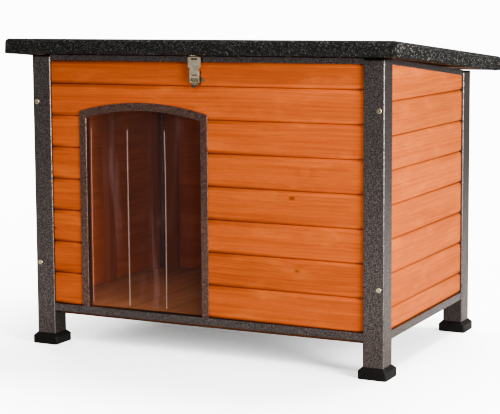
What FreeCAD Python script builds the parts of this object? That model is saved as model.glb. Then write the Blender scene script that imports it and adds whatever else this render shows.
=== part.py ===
import FreeCAD
import Part
import math
import os

# A raised kennel: four square steel posts on plastic feet, steel rails between them, board walls
# standing on the rails, an arched steel door frame with a clear slit curtain, a slatted floor and a
# felt-covered board roof that is hinged at the back and latched at the front.
# Millimetres. +Z is up, the door is on the -Y side, and the origin is at floor level under the
# middle of the roof, which is the widest and deepest piece.

V = FreeCAD.Vector

# ---------------------------------------------------------------- driving dimensions
# Steel frame
FRAME_WIDTH = 770.0          # outside faces of the posts, left to right
FRAME_DEPTH = 500.0          # outside faces of the posts, front to back
POST_SIDE = 42.0
POST_WALL = 1.5
POST_CORNER_R = 2.5
POST_BORE_R = 1.0            # inner corners of the tube
FRONT_CAP_TOP = 597.5        # height of the front post caps, on which the roof comes down
BACK_CAP_GAP = 6.0           # air between the back post caps and the roof, for the hinges
CAP_HEAD = 3.0
CAP_ROUND = 1.5
CAP_SPIGOT = 12.0
CAP_SPIGOT_WALL = 2.0
CAP_SPIGOT_R = 1.0
RAIL_DEPTH = 20.0            # all rails, square to the wall
RAIL_WALL = 1.2
RAIL_RECESS = 2.0            # rails stand this far back from the posts' outside faces
BOTTOM_RAIL_Z = 70.5         # underside of the bottom rails
BOTTOM_RAIL_H = 15.0
TOP_RAIL_H = 11.0
BACK_TOP_RAIL_H = 20.0       # deeper, because it carries the hinges
SIDE_RAIL_SLOPE = 5.4        # degrees, down to the back

# Feet
FOOT_SIDE = 57.0
FOOT_FACE_H = 15.5           # upright part of the foot
FOOT_FLOOR = 5.0             # plastic under the post
FOOT_CORNER_R = 4.0
FOOT_RIM = 1.0               # plastic round the tube at the top of the bevel
FOOT_TOE = 1.0               # small bevel on the floor

# Fits between pieces
SLIP = 0.2                   # plastic on steel tube
SEAT_GAP = 0.3               # between the closed roof and what it comes down on
END_GAP = 0.5                # at the ends of boards, battens and bearers
HOLE_SLACK = 0.3             # drilled hole around a screw, on the radius
SCREW_FIT = 0.05             # bored wood around a screw, on the radius
PIN_FIT = 0.05               # hinge pins in their knuckles, on the radius
RUN_OUT = 1.0                # how far cutters go on past what they cut
TOUCH = 1e-4                 # places closer than this are one place

# Wall boards
BOARD_T = 12.0
BOARD_PITCH = 65.0
BOARD_RECESS = 5.0           # board faces stand this far back from the posts' outside faces
BOARD_ROUND = 7.0            # radius along both long edges of the face
SIDE_FIRST_BOARD = 41.5      # the lowest side board is ripped down to this height
BATTEN_T = 15.0
BATTEN_W = 30.0

# Frame screws, through the posts into the ends of the side boards
FRAME_SCREW_R = 2.5
FRAME_SCREW_HEAD_R = 5.3
FRAME_SCREW_HEAD_H = 2.8
FRAME_SCREW_SOCKET_R = 1.8
FRAME_SCREW_SOCKET_DEPTH = 1.6
FRAME_SCREW_BITE = 30.0      # length inside the board
FRAME_SCREW_INSET = 10.0     # from the posts' outer side faces
FRAME_SCREW_HEIGHTS = (170.0, 503.0)

# Door frame
DOOR_POST_GAP = 66.5         # door frame to the left post
DOOR_OUTER_W = 293.0
DOOR_FACE_W = 16.0
DOOR_APEX_Z = 505.5          # top of the face, in the middle of the arch
DOOR_ARCH_RISE = 20.0
DOOR_SHEET_T = 2.0

# Curtain
CURTAIN_T = 2.0
CURTAIN_SIDE_GAP = 3.0       # strips to door frame
CURTAIN_LAP = 11.0           # head of the curtain behind the boards, each side
CURTAIN_SLIT = 1.0
CURTAIN_CORNER_R = 4.0
CURTAIN_STRIPS = 3
SLIT_TOP_Z = 450.0
CURTAIN_SILL_GAP = 6.5
CURTAIN_HEAD_TOP_Z = 525.5
CLAMP_BAR_T = 2.0
CLAMP_BAR_H = 18.0
CLAMP_BAR_R = 3.0
CLAMP_SCREWS = 4
CLAMP_SCREW_EDGE = 20.0

# Floor
FLOOR_BOARD_T = 9.0
FLOOR_BOARDS = 8
FLOOR_BOARD_GAP = 0.8
BEARER_W = 20.0
BEARER_H = 14.5
BEARER_END_INSET = 5.0       # front and back bearers, from the posts' inner faces

# Roof
ROOF_SLOPE = 4.5             # degrees, down to the back
SIDE_OVERHANG = 40.0
FRONT_OVERHANG = 45.0
BACK_OVERHANG = 95.0
ROOF_BOARD_T = 26.0
ROOF_BOARDS = 5
FELT_T = 2.0
FELT_RETURN = 22.0           # felt turned in under the edge
FELT_UNDER_T = 1.5
ROOF_PLAN_R = 10.0
ROOF_TOP_R = 8.0
CLEAT_W = 40.0
CLEAT_T = 12.0
CLEAT_INSET = 128.0          # cleats' middles, from the posts' inner faces
CLEAT_CHAMFER = 2.0
CLEAT_WALL_GAP = 12.0        # cleat ends to the wall battens
NAIL_HEAD_R = 3.5
NAIL_HEAD_H = 0.8
NAIL_SHANK_R = 1.2
NAIL_LENGTH = 16.0
NAIL_PITCH = 105.0
NAIL_EDGE = 11.0

# Hardware screws
SCREW_R = 1.6
SCREW_HEAD_R = 3.2
SCREW_HEAD_H = 1.2
SCREW_LENGTH = 9.0
CROWN_ROUND = 0.6            # share of a head's height that is rounded
RECESS_L = 3.4               # cross recess in the small screws' heads
RECESS_W = 0.6
RECESS_DEPTH = 0.7

# Roof hinges
HINGE_INSET = 103.0          # hinges' middles, from the posts' inner faces
HINGE_W = 60.0
HINGE_LEAF_T = 1.5
HINGE_LEAF_DROP = 19.0       # leaf length from the axis
HINGE_KNUCKLES = 5
KNUCKLE_R = 3.0
KNUCKLE_GAP = 0.3
HINGE_PIN_R = 1.5
HINGE_PIN_HEAD_R = 2.4
HINGE_PIN_HEAD_H = 1.0
HINGE_SCREW_PITCH = 20.0
HINGE_SCREWS = 3
HINGE_SCREW_OUT = 12.5       # screw line from the axis

# Toggle latch
LATCH_X = -6.5
LATCH_DROP = 34.0            # lever pivot in the base, below the front caps' tops
LATCH_SHEET_T = 1.2
LATCH_PIVOT_OUT = 4.5        # lever pivot from the board face
LATCH_ARM = 14.0             # lever pivot down to the strap pivot
LATCH_ARM_OUT = 2.0          # strap pivot further out than the lever pivot
LATCH_PIN_R = 1.2
LATCH_EYE_R = 2.4
LATCH_GAP = 0.5              # side play between lever, lugs and strap
LEVER_W = 13.0
LEVER_T = 1.5
LEVER_TIP_DROP = 11.0        # below the strap pivot
LEVER_TIP_OUT = 5.0
LEVER_CORNER_R = 4.3
LUG_R = 3.5
BASE_TOP = 8.0               # above the lever pivot
BASE_BOTTOM = 20.0           # below the lever pivot
BASE_W = 20.0
BASE_EAR_R = 4.5
BASE_EAR_X = 13.5
BASE_EAR_DROP = 10.0
STRAP_OUT = 8.5              # back of the strap from the board face
STRAP_W = 27.8
STRAP_WAIST_W = 18.6
STRAP_LOWER_W = 22.0
STRAP_TOP = 34.0             # above the lever pivot
STRAP_WAIST = 11.0
STRAP_WAIST_R = 3.2
STRAP_SHOULDER = 15.5
STRAP_BOTTOM = -6.0
STRAP_CORNER_R = 2.0
STRAP_SLOT_W = 13.0
STRAP_SLOT_H = 4.0
STRAP_SLOT_Z = 30.5
STRAP_WINDOW_W = 11.6
STRAP_WINDOW_H = 3.4
STRAP_WINDOW_Z = -1.0
CATCH_W = 11.0
CATCH_PLATE_L = 22.0
CATCH_DROP = 8.0
CATCH_STRAP_GAP = 0.6
CATCH_RAIL_GAP = 1.0
CATCH_SCREWS_OUT = (8.5, 17.0)   # catch screws, forward of the hanging leg

# ---------------------------------------------------------------- worked-out places
SLOPE = math.radians(ROOF_SLOPE)
SIDE_SLOPE = math.radians(SIDE_RAIL_SLOPE)
ROOF_T = ROOF_BOARD_T + FELT_T
ROOF_RUN = FRONT_OVERHANG + FRAME_DEPTH + BACK_OVERHANG
ROOF_LENGTH = ROOF_RUN / math.cos(SLOPE)
ROOF_WIDTH = FRAME_WIDTH + 2 * SIDE_OVERHANG
ROOF_FRONT_Y = -(ROOF_RUN + ROOF_T * math.sin(SLOPE)) / 2
FRONT_Y = ROOF_FRONT_Y + FRONT_OVERHANG
BACK_Y = FRONT_Y + FRAME_DEPTH
MID_Y = (FRONT_Y + BACK_Y) / 2
SIDE_X = FRAME_WIDTH / 2
POST_INNER_X = SIDE_X - POST_SIDE
HINGE_X = POST_INNER_X - HINGE_INSET
CLEAT_X = POST_INNER_X - CLEAT_INSET
DOOR_X = DOOR_POST_GAP + DOOR_OUTER_W / 2 - POST_INNER_X   # middle of the door
FRONT_POST_BACK_Y = FRONT_Y + POST_SIDE
BACK_POST_FRONT_Y = BACK_Y - POST_SIDE
RAIL_INNER = RAIL_RECESS + RAIL_DEPTH
BOARD_INNER = BOARD_RECESS + BOARD_T
BATTEN_INNER = BOARD_INNER + BATTEN_T
SILL_Z = BOTTOM_RAIL_Z + BOTTOM_RAIL_H


def roof_under(y):
    """Height of the closed roof's underside at depth y."""
    return FRONT_CAP_TOP + SEAT_GAP - (y - FRONT_POST_BACK_Y) * math.tan(SLOPE)


ROOF_FRONT_Z = roof_under(ROOF_FRONT_Y)
FRONT_POST_TOP = FRONT_CAP_TOP - CAP_HEAD
BACK_POST_TOP = roof_under(BACK_Y) - BACK_CAP_GAP - CAP_HEAD
FRONT_RAIL_TOP = roof_under(FRONT_Y + RAIL_INNER) - SEAT_GAP
FRONT_RAIL_Z = FRONT_RAIL_TOP - TOP_RAIL_H
BACK_RAIL_Z = BACK_POST_TOP - BACK_TOP_RAIL_H
BACK_RAIL_FACE_Y = BACK_Y - RAIL_RECESS
HINGE_Y = BACK_RAIL_FACE_Y + KNUCKLE_R
HINGE_Z = roof_under(HINGE_Y) - (KNUCKLE_R + KNUCKLE_GAP) / math.cos(SLOPE)
CURTAIN_Y = FRONT_Y + BOARD_INNER
CURTAIN_AXIS_Z = SLIT_TOP_Z - SEAT_GAP - CURTAIN_T / 2
LATCH_FACE_Y = FRONT_Y + BOARD_RECESS
LATCH_PIVOT_Z = FRONT_CAP_TOP - LATCH_DROP
LATCH_PIVOT_Y = LATCH_FACE_Y - LATCH_PIVOT_OUT
STRAP_PIVOT_Y = LATCH_PIVOT_Y - LATCH_ARM_OUT
STRAP_PIVOT_Z = LATCH_PIVOT_Z - LATCH_ARM
STRAP_BACK_Y = LATCH_FACE_Y - STRAP_OUT
ARCH_R = ((DOOR_OUTER_W / 2) ** 2 + DOOR_ARCH_RISE ** 2) / (2 * DOOR_ARCH_RISE)
ARCH_CENTRE_Z = DOOR_APEX_Z - ARCH_R
DOOR_FACE_V = BOARD_RECESS - DOOR_SHEET_T


def side_rail_top(y):
    """Height of the side top rails' upper face at depth y."""
    return FRONT_CAP_TOP - (y - FRONT_POST_BACK_Y) * math.tan(SIDE_SLOPE)


# ---------------------------------------------------------------- shape helpers
def box(x0, x1, y0, y1, z0, z1):
    """Box between two corners."""
    return Part.makeBox(x1 - x0, y1 - y0, z1 - z0, V(x0, y0, z0))


def cylinder(radius, start, end):
    """Round bar from start to end."""
    axis = end - start
    return Part.makeCylinder(radius, axis.Length, start, axis)


def prism(points, sweep):
    """Flat polygon through the points, swept along a vector."""
    wire = Part.makePolygon(points + [points[0]])
    return Part.Face(wire).extrude(sweep)


def edges_along(shape, axis):
    """Straight edges of the shape that run along the axis."""
    found = []
    for edge in shape.Edges:
        if isinstance(edge.Curve, Part.Line):
            if abs(abs(edge.tangentAt(edge.FirstParameter).dot(axis)) - 1.0) < TOUCH:
                found.append(edge)
    return found


def edges_at_height(shape, height):
    """Edges that lie wholly at one height."""
    return [e for e in shape.Edges
            if abs(e.BoundBox.ZMin - height) < TOUCH and abs(e.BoundBox.ZMax - height) < TOUCH]


def mirror_x(shape):
    """The same shape on the other side of the kennel's middle plane."""
    return shape.mirror(V(0, 0, 0), V(1, 0, 0))


def spread(count, first, last):
    """Evenly spaced positions from first to last."""
    return [first + (last - first) * i / (count - 1) for i in range(count)]


def save(name, *solids):
    """Write one node from its separate solids."""
    shape = solids[0] if len(solids) == 1 else Part.makeCompound(list(solids))
    shape.exportStep("parts/" + name + ".step")


def pan_screw(head_seat, inward, radius, head_r, head_h, length):
    """Screw whose domed head stands on head_seat and whose shank runs inward."""
    crown = head_seat - inward * head_h
    head = cylinder(head_r, head_seat, crown)
    rim = [e for e in head.Edges
           if isinstance(e.Curve, Part.Circle) and (e.Curve.Center - crown).Length < TOUCH]
    head = head.makeFillet(head_h * CROWN_ROUND, rim)
    return head.fuse(cylinder(radius, head_seat, head_seat + inward * length)).removeSplitter()


def cross_recess(crown, inward):
    """Cutter for the cross in a small screw's head."""
    along = V(1, 0, 0)
    across = inward.cross(along)
    arms = []
    for u, v in ((along, across), (across, along)):
        reach, side = u * (RECESS_L / 2), v * (RECESS_W / 2)
        corners = [crown - reach - side, crown + reach - side, crown + reach + side, crown - reach + side]
        arms.append(prism(corners, inward * RECESS_DEPTH))
    return arms[0].fuse(arms[1])


def hardware_screw(head_seat, inward, length=SCREW_LENGTH):
    """One of the small cross-head screws that hold hinges, latch, catch, clamp bar and cleats."""
    screw = pan_screw(head_seat, inward, SCREW_R, SCREW_HEAD_R, SCREW_HEAD_H, length)
    return screw.cut(cross_recess(head_seat - inward * SCREW_HEAD_H, inward))


def screw_hole(head_seat, inward, depth, slack):
    """Cutter for a screw's hole."""
    return cylinder(SCREW_R + slack, head_seat - inward * depth, head_seat + inward * depth)


# ---------------------------------------------------------------- steel frame
def post_corner(side, back):
    """Low corner of a post: side is -1 or 1, back is False at the front."""
    x0 = -SIDE_X if side < 0 else POST_INNER_X
    y0 = BACK_POST_FRONT_Y if back else FRONT_Y
    return x0, y0


def frame_screw_axes():
    """Place and direction of each screw that goes through a post."""
    axes = []
    for side in (-1, 1):
        x = side * (SIDE_X - FRAME_SCREW_INSET)
        for z in FRAME_SCREW_HEIGHTS:
            axes.append((V(x, FRONT_Y, z), V(0, 1, 0)))
            axes.append((V(x, BACK_Y, z), V(0, -1, 0)))
    return axes


def frame_screws():
    """Button-head screws with a socket."""
    screws = []
    for seat, inward in frame_screw_axes():
        screw = pan_screw(seat, inward, FRAME_SCREW_R, FRAME_SCREW_HEAD_R, FRAME_SCREW_HEAD_H,
                          POST_SIDE + FRAME_SCREW_BITE)
        crown = seat - inward * FRAME_SCREW_HEAD_H
        socket = cylinder(FRAME_SCREW_SOCKET_R, crown, crown + inward * FRAME_SCREW_SOCKET_DEPTH)
        screws.append(screw.cut(socket))
    return screws


def frame_screw_cutter(slack):
    """Cutters along every frame screw."""
    bars = [cylinder(FRAME_SCREW_R + slack, seat, seat + inward * (POST_SIDE + FRAME_SCREW_BITE))
            for seat, inward in frame_screw_axes()]
    return Part.makeCompound(bars)


def post(side, back):
    """Square tube, drilled for the frame screws."""
    x0, y0 = post_corner(side, back)
    top = BACK_POST_TOP if back else FRONT_POST_TOP
    outside = box(x0, x0 + POST_SIDE, y0, y0 + POST_SIDE, FOOT_FLOOR, top)
    outside = outside.makeFillet(POST_CORNER_R, edges_along(outside, V(0, 0, 1)))
    bore = box(x0 + POST_WALL, x0 + POST_SIDE - POST_WALL, y0 + POST_WALL, y0 + POST_SIDE - POST_WALL,
               FOOT_FLOOR, top)
    bore = bore.makeFillet(POST_BORE_R, edges_along(bore, V(0, 0, 1)))
    return outside.cut(bore).cut(frame_screw_cutter(HOLE_SLACK))


def post_cap(side, back):
    """Plastic plug in the top of a post."""
    x0, y0 = post_corner(side, back)
    top = (BACK_POST_TOP if back else FRONT_POST_TOP) + CAP_HEAD
    under = top - CAP_HEAD
    head = box(x0, x0 + POST_SIDE, y0, y0 + POST_SIDE, under, top)
    head = head.makeFillet(POST_CORNER_R, edges_along(head, V(0, 0, 1)))
    head = head.makeFillet(CAP_ROUND, edges_at_height(head, top))
    inset = POST_WALL + SLIP
    wall = inset + CAP_SPIGOT_WALL
    spigot = box(x0 + inset, x0 + POST_SIDE - inset, y0 + inset, y0 + POST_SIDE - inset,
                 under - CAP_SPIGOT, under)
    spigot = spigot.makeFillet(CAP_SPIGOT_R, edges_along(spigot, V(0, 0, 1)))
    hollow = box(x0 + wall, x0 + POST_SIDE - wall, y0 + wall, y0 + POST_SIDE - wall,
                 under - CAP_SPIGOT, under)
    return head.fuse(spigot.cut(hollow))


def corner_square(x, y, width, z):
    """Level outline of a foot at height z: a square round x, y with rounded corners."""
    half = width / 2
    r = FOOT_CORNER_R
    edges = []
    for turn in range(4):
        quarter = turn * math.pi / 2
        cx, cy = math.cos(quarter), math.sin(quarter)

        def at(u, v):
            return V(x + u * cx - v * cy, y + u * cy + v * cx, z)

        bend = half - r + r * math.sin(math.pi / 4)
        edges.append(Part.makeLine(at(half, -half + r), at(half, half - r)))
        edges.append(Part.Arc(at(half, half - r), at(bend, bend), at(half - r, half)).toShape())
    return Part.Wire(edges)


def foot(side, back):
    """Plastic cup under a post, bevelled in to the tube."""
    x0, y0 = post_corner(side, back)
    x, y = x0 + POST_SIDE / 2, y0 + POST_SIDE / 2
    rim = POST_SIDE + 2 * (SLIP + FOOT_RIM)
    top = FOOT_FACE_H + (FOOT_SIDE - rim) / 2
    outlines = ((FOOT_SIDE - FOOT_TOE, 0.0), (FOOT_SIDE, FOOT_TOE), (FOOT_SIDE, FOOT_FACE_H), (rim, top))
    cup = Part.makeLoft([corner_square(x, y, width, z) for width, z in outlines], True, True)
    socket = box(x0 - SLIP, x0 + POST_SIDE + SLIP, y0 - SLIP, y0 + POST_SIDE + SLIP, FOOT_FLOOR, top)
    return cup.cut(socket)


def tube_between(x0, x1, y0, y1, z0, z1, axis):
    """Rectangular tube with open ends; axis is 0 along X and 1 along Y."""
    wall_x = 0.0 if axis == 0 else RAIL_WALL
    wall_y = RAIL_WALL if axis == 0 else 0.0
    bore = box(x0 + wall_x, x1 - wall_x, y0 + wall_y, y1 - wall_y, z0 + RAIL_WALL, z1 - RAIL_WALL)
    return box(x0, x1, y0, y1, z0, z1).cut(bore)


def front_rail(z0, height):
    """Rail between the front posts."""
    return tube_between(-POST_INNER_X, POST_INNER_X, FRONT_Y + RAIL_RECESS, FRONT_Y + RAIL_INNER,
                        z0, z0 + height, 0)


def back_rail(z0, height):
    """Rail between the back posts."""
    return tube_between(-POST_INNER_X, POST_INNER_X, BACK_Y - RAIL_INNER, BACK_Y - RAIL_RECESS,
                        z0, z0 + height, 0)


def right_bottom_rail():
    """Rail between the right-hand posts."""
    return tube_between(SIDE_X - RAIL_INNER, SIDE_X - RAIL_RECESS, FRONT_POST_BACK_Y, BACK_POST_FRONT_Y,
                        BOTTOM_RAIL_Z, SILL_Z, 1)


def right_top_rail():
    """Sloping tube between the right-hand posts, with upright ends."""
    def section(inset):
        corners = []
        for y, drop in ((FRONT_POST_BACK_Y, inset), (BACK_POST_FRONT_Y, inset),
                        (BACK_POST_FRONT_Y, TOP_RAIL_H - inset), (FRONT_POST_BACK_Y, TOP_RAIL_H - inset)):
            corners.append(V(SIDE_X - RAIL_INNER + inset, y, side_rail_top(y) - drop))
        return prism(corners, V(RAIL_DEPTH - 2 * inset, 0, 0))
    return section(0.0).cut(section(RAIL_WALL))


# ---------------------------------------------------------------- walls
def wall_board(u0, u1, z0, z1):
    """Board with rounded long edges; u runs along the wall, the face looks to -Y."""
    r = BOARD_ROUND
    face, inner = BOARD_RECESS, BOARD_INNER
    bend = r * (1 - math.cos(math.pi / 4))
    low_in, low_out = V(u0, face + r, z0), V(u0, face, z0 + r)
    high_in, high_out = V(u0, face + r, z1), V(u0, face, z1 - r)
    low_back, high_back = V(u0, inner, z0), V(u0, inner, z1)
    edges = [Part.Arc(low_in, V(u0, face + bend, z0 + bend), low_out).toShape(),
             Part.makeLine(low_out, high_out),
             Part.Arc(high_out, V(u0, face + bend, z1 - bend), high_in).toShape(),
             Part.makeLine(high_in, high_back),
             Part.makeLine(high_back, low_back),
             Part.makeLine(low_back, low_in)]
    return Part.Face(Part.Wire(edges)).extrude(V(u1 - u0, 0, 0))


def courses(first_top, top, sawn_off=0.0):
    """Heights between which the boards of a wall lie; sawn_off comes off the last one later."""
    seams = [SILL_Z]
    z = first_top
    while z < top - sawn_off - 2 * BOARD_ROUND:
        seams.append(z)
        z += BOARD_PITCH
    seams.append(top)
    return list(zip(seams[:-1], seams[1:]))


def on_front(shape):
    """Wall coordinates to the front wall."""
    moved = shape.copy()
    moved.translate(V(0, FRONT_Y, 0))
    return moved


def on_back(shape):
    """Wall coordinates to the back wall."""
    moved = shape.copy()
    moved.rotate(V(0, 0, 0), V(0, 0, 1), 180)
    moved.translate(V(0, BACK_Y, 0))
    return moved


def on_right(shape):
    """Wall coordinates to the right side wall; the wall's u becomes depth from its middle."""
    moved = shape.copy()
    moved.rotate(V(0, 0, 0), V(0, 0, 1), 90)
    moved.translate(V(SIDE_X, MID_Y, 0))
    return moved


def batten(u0, z0, z1):
    """Upright batten on the inside of the boards."""
    return box(u0, u0 + BATTEN_W, BOARD_INNER, BATTEN_INNER, z0, z1)


def door_outline(offset, depth, v0):
    """Arched door shape, offset outward from the clear opening, as a block depth deep."""
    half = DOOR_OUTER_W / 2 - DOOR_FACE_W + offset
    radius = ARCH_R - DOOR_FACE_W + offset
    spring_z = ARCH_CENTRE_Z + math.sqrt(radius ** 2 - half ** 2)
    left, right = DOOR_X - half, DOOR_X + half
    corners = [V(left, v0, SILL_Z), V(right, v0, SILL_Z), V(right, v0, spring_z), V(left, v0, spring_z)]
    crown = V(DOOR_X, v0, ARCH_CENTRE_Z + radius)
    edges = [Part.makeLine(corners[3], corners[0]), Part.makeLine(corners[0], corners[1]),
             Part.makeLine(corners[1], corners[2]), Part.Arc(corners[2], crown, corners[3]).toShape()]
    return Part.Face(Part.Wire(edges)).extrude(V(0, depth, 0))


def front_boards():
    """Boards of the front wall, cut round the door: full width, left and right of the door."""
    edge = POST_INNER_X - END_GAP
    opening = door_outline(DOOR_SHEET_T + SLIP, BOARD_INNER + RUN_OUT, 0)
    groups = {"top": [], "arch": [], "left": [], "right": []}
    for z0, z1 in courses(SILL_Z + BOARD_PITCH, FRONT_RAIL_Z):
        pieces = wall_board(-edge, edge, z0, z1).cut(opening).Solids
        if len(pieces) == 1:
            whole = wall_board(-edge, edge, z0, z1).Volume - pieces[0].Volume < TOUCH
            groups["top" if whole else "arch"].append(on_front(pieces[0]))
        else:
            pieces.sort(key=lambda piece: piece.CenterOfMass.x)
            groups["left"].append(on_front(pieces[0]))
            groups["right"].append(on_front(pieces[-1]))
    return groups


def front_battens():
    """Battens at the posts and beside the curtain."""
    edge = POST_INNER_X - END_GAP
    curtain_half = DOOR_OUTER_W / 2 - DOOR_FACE_W + CURTAIN_LAP + END_GAP
    starts = [-edge, DOOR_X - curtain_half - BATTEN_W, DOOR_X + curtain_half, edge - BATTEN_W]
    return [on_front(batten(u, SILL_Z, FRONT_RAIL_Z)) for u in starts]


def back_boards():
    """Boards of the back wall."""
    edge = POST_INNER_X - END_GAP
    return [on_back(wall_board(-edge, edge, z0, z1))
            for z0, z1 in courses(SILL_Z + BOARD_PITCH, BACK_RAIL_Z)]


def back_battens():
    """Battens at the posts and in the middle of the back wall."""
    edge = POST_INNER_X - END_GAP
    return [on_back(batten(u, SILL_Z, BACK_RAIL_Z)) for u in (-edge, -BATTEN_W / 2, edge - BATTEN_W)]


def under_side_rail():
    """Everything above the underside of the right top rail, as a cutter."""
    x = SIDE_X - BATTEN_INNER - RUN_OUT
    top = FRONT_CAP_TOP + BOARD_PITCH
    outline = [V(x, y, side_rail_top(y) - TOP_RAIL_H) for y in (FRONT_Y, BACK_Y)]
    outline += [V(x, y, top) for y in (BACK_Y, FRONT_Y)]
    return prism(outline, V(BATTEN_INNER + 2 * RUN_OUT, 0, 0))


def right_boards():
    """Boards of the right wall; the highest is cut to the slope of its rail."""
    half = (BACK_POST_FRONT_Y - FRONT_POST_BACK_Y) / 2 - END_GAP
    above = under_side_rail()
    bored = frame_screw_cutter(SCREW_FIT)
    boards = []
    for z0, z1 in courses(SILL_Z + SIDE_FIRST_BOARD, side_rail_top(FRONT_POST_BACK_Y), TOP_RAIL_H):
        for piece in on_right(wall_board(-half, half, z0, z1)).cut(above).cut(bored).Solids:
            boards.append(piece)
    return boards


def right_battens():
    """Battens at the posts and in the middle of the right wall, cut to the slope."""
    half = (BACK_POST_FRONT_Y - FRONT_POST_BACK_Y) / 2 - END_GAP
    above = under_side_rail()
    return [on_right(batten(u, SILL_Z, side_rail_top(FRONT_POST_BACK_Y))).cut(above)
            for u in (-half, -BATTEN_W / 2, half - BATTEN_W)]


# ---------------------------------------------------------------- door frame and curtain
def door_frame():
    """Left jamb, arch and right jamb of the angle-steel frame, mitred at the arch's ends."""
    face = door_outline(DOOR_FACE_W, DOOR_SHEET_T, DOOR_FACE_V)
    face = face.cut(door_outline(0.0, DOOR_SHEET_T, DOOR_FACE_V))
    reveal_depth = BOARD_INNER - DOOR_FACE_V
    reveal = door_outline(DOOR_SHEET_T, reveal_depth, DOOR_FACE_V)
    reveal = reveal.cut(door_outline(0.0, reveal_depth, DOOR_FACE_V))
    ring = face.fuse(reveal).removeSplitter()
    inner_half = DOOR_OUTER_W / 2 - DOOR_FACE_W
    inner_r = ARCH_R - DOOR_FACE_W
    inner = V(inner_half, 0, ARCH_CENTRE_Z + math.sqrt(inner_r ** 2 - inner_half ** 2))
    outer = V(DOOR_OUTER_W / 2, 0, DOOR_APEX_Z - DOOR_ARCH_RISE)
    beyond = outer + (outer - inner)
    before = inner - (outer - inner)
    through = V(0, BOARD_INNER + RUN_OUT, 0)
    peak = V(0, 0, DOOR_APEX_Z + DOOR_OUTER_W)
    above = [V(-before.x, 0, before.z), V(-beyond.x, 0, beyond.z), peak,
             V(beyond.x, 0, beyond.z), V(before.x, 0, before.z)]
    crown = prism(above, through)
    crown.translate(V(DOOR_X, 0, 0))
    arch = ring.common(crown)
    jambs = ring.cut(crown).Solids
    jambs.sort(key=lambda piece: piece.CenterOfMass.x)
    return on_front(jambs[0]), on_front(arch), on_front(jambs[-1])


def clamp_screw_seats():
    """Where the clamp bar's screw heads sit, on the inside of the bar."""
    half = DOOR_OUTER_W / 2 - DOOR_FACE_W + CURTAIN_LAP - CLAMP_SCREW_EDGE
    y = CURTAIN_Y + CURTAIN_T + CLAMP_BAR_T
    z = CURTAIN_HEAD_TOP_Z - CLAMP_BAR_H / 2
    return [V(x, y, z) for x in spread(CLAMP_SCREWS, DOOR_X - half, DOOR_X + half)]


def curtain_cutter(slack):
    """Cutters for the screws through the clamp bar."""
    return Part.makeCompound([screw_hole(seat, V(0, -1, 0), SCREW_LENGTH, slack)
                              for seat in clamp_screw_seats()])


def curtain_head():
    """Uncut upper edge of the clear sheet."""
    half = DOOR_OUTER_W / 2 - DOOR_FACE_W + CURTAIN_LAP
    sheet = box(DOOR_X - half, DOOR_X + half, CURTAIN_Y, CURTAIN_Y + CURTAIN_T,
                SLIT_TOP_Z, CURTAIN_HEAD_TOP_Z)
    return sheet.cut(curtain_cutter(HOLE_SLACK))


def curtain_strips():
    """Hanging strips between the slits, left to right, each rounded over at its bending line."""
    half = DOOR_OUTER_W / 2 - DOOR_FACE_W - CURTAIN_SIDE_GAP
    width = (2 * half - (CURTAIN_STRIPS - 1) * CURTAIN_SLIT) / CURTAIN_STRIPS
    mid_y = CURTAIN_Y + CURTAIN_T / 2
    strips = []
    for i in range(CURTAIN_STRIPS):
        x0 = DOOR_X - half + i * (width + CURTAIN_SLIT)
        x1 = x0 + width
        strip = box(x0, x1, CURTAIN_Y, CURTAIN_Y + CURTAIN_T, SILL_Z + CURTAIN_SILL_GAP, CURTAIN_AXIS_Z)
        low = [e for e in edges_along(strip, V(0, 1, 0)) if e.BoundBox.ZMax < CURTAIN_AXIS_Z - BOARD_PITCH]
        bend = cylinder(CURTAIN_T / 2, V(x0, mid_y, CURTAIN_AXIS_Z), V(x1, mid_y, CURTAIN_AXIS_Z))
        strips.append(strip.makeFillet(CURTAIN_CORNER_R, low).fuse(bend).removeSplitter())
    return strips


def clamp_bar():
    """Flat bar that holds the curtain's head to the boards."""
    half = DOOR_OUTER_W / 2 - DOOR_FACE_W + CURTAIN_LAP
    y0 = CURTAIN_Y + CURTAIN_T
    bar = box(DOOR_X - half, DOOR_X + half, y0, y0 + CLAMP_BAR_T,
              CURTAIN_HEAD_TOP_Z - CLAMP_BAR_H, CURTAIN_HEAD_TOP_Z)
    bar = bar.makeFillet(CLAMP_BAR_R, edges_along(bar, V(0, 1, 0)))
    return bar.cut(curtain_cutter(HOLE_SLACK))


# ---------------------------------------------------------------- floor
def floor_bearers():
    """Three cross bearers; the front and back ones are screwed to the rails."""
    top = SILL_Z - FLOOR_BOARD_T
    end = POST_INNER_X - BEARER_END_INSET
    front_y = FRONT_Y + RAIL_INNER
    back_y = BACK_Y - RAIL_INNER - BEARER_W
    side = SIDE_X - RAIL_INNER
    middle_y = MID_Y - BEARER_W / 2
    return [box(-end, end, front_y, front_y + BEARER_W, top - BEARER_H, top),
            box(-side, side, middle_y, middle_y + BEARER_W, top - BEARER_H, top),
            box(-end, end, back_y, back_y + BEARER_W, top - BEARER_H, top)]


def floor_boards():
    """Floor boards from front to back, notched round the posts."""
    half = SIDE_X - RAIL_INNER - END_GAP
    width = (2 * half - (FLOOR_BOARDS - 1) * FLOOR_BOARD_GAP) / FLOOR_BOARDS
    y0 = FRONT_Y + RAIL_INNER + END_GAP
    y1 = BACK_Y - RAIL_INNER - END_GAP
    posts = []
    for side in (-1, 1):
        for back in (False, True):
            px, py = post_corner(side, back)
            posts.append(box(px - END_GAP, px + POST_SIDE + END_GAP, py - END_GAP, py + POST_SIDE + END_GAP,
                             0, FRONT_CAP_TOP))
    notches = Part.makeCompound(posts)
    boards = []
    for i in range(FLOOR_BOARDS):
        x0 = -half + i * (width + FLOOR_BOARD_GAP)
        board = box(x0, x0 + width, y0, y1, SILL_Z - FLOOR_BOARD_T, SILL_Z)
        boards.append(board.cut(notches))
    return boards


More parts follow.
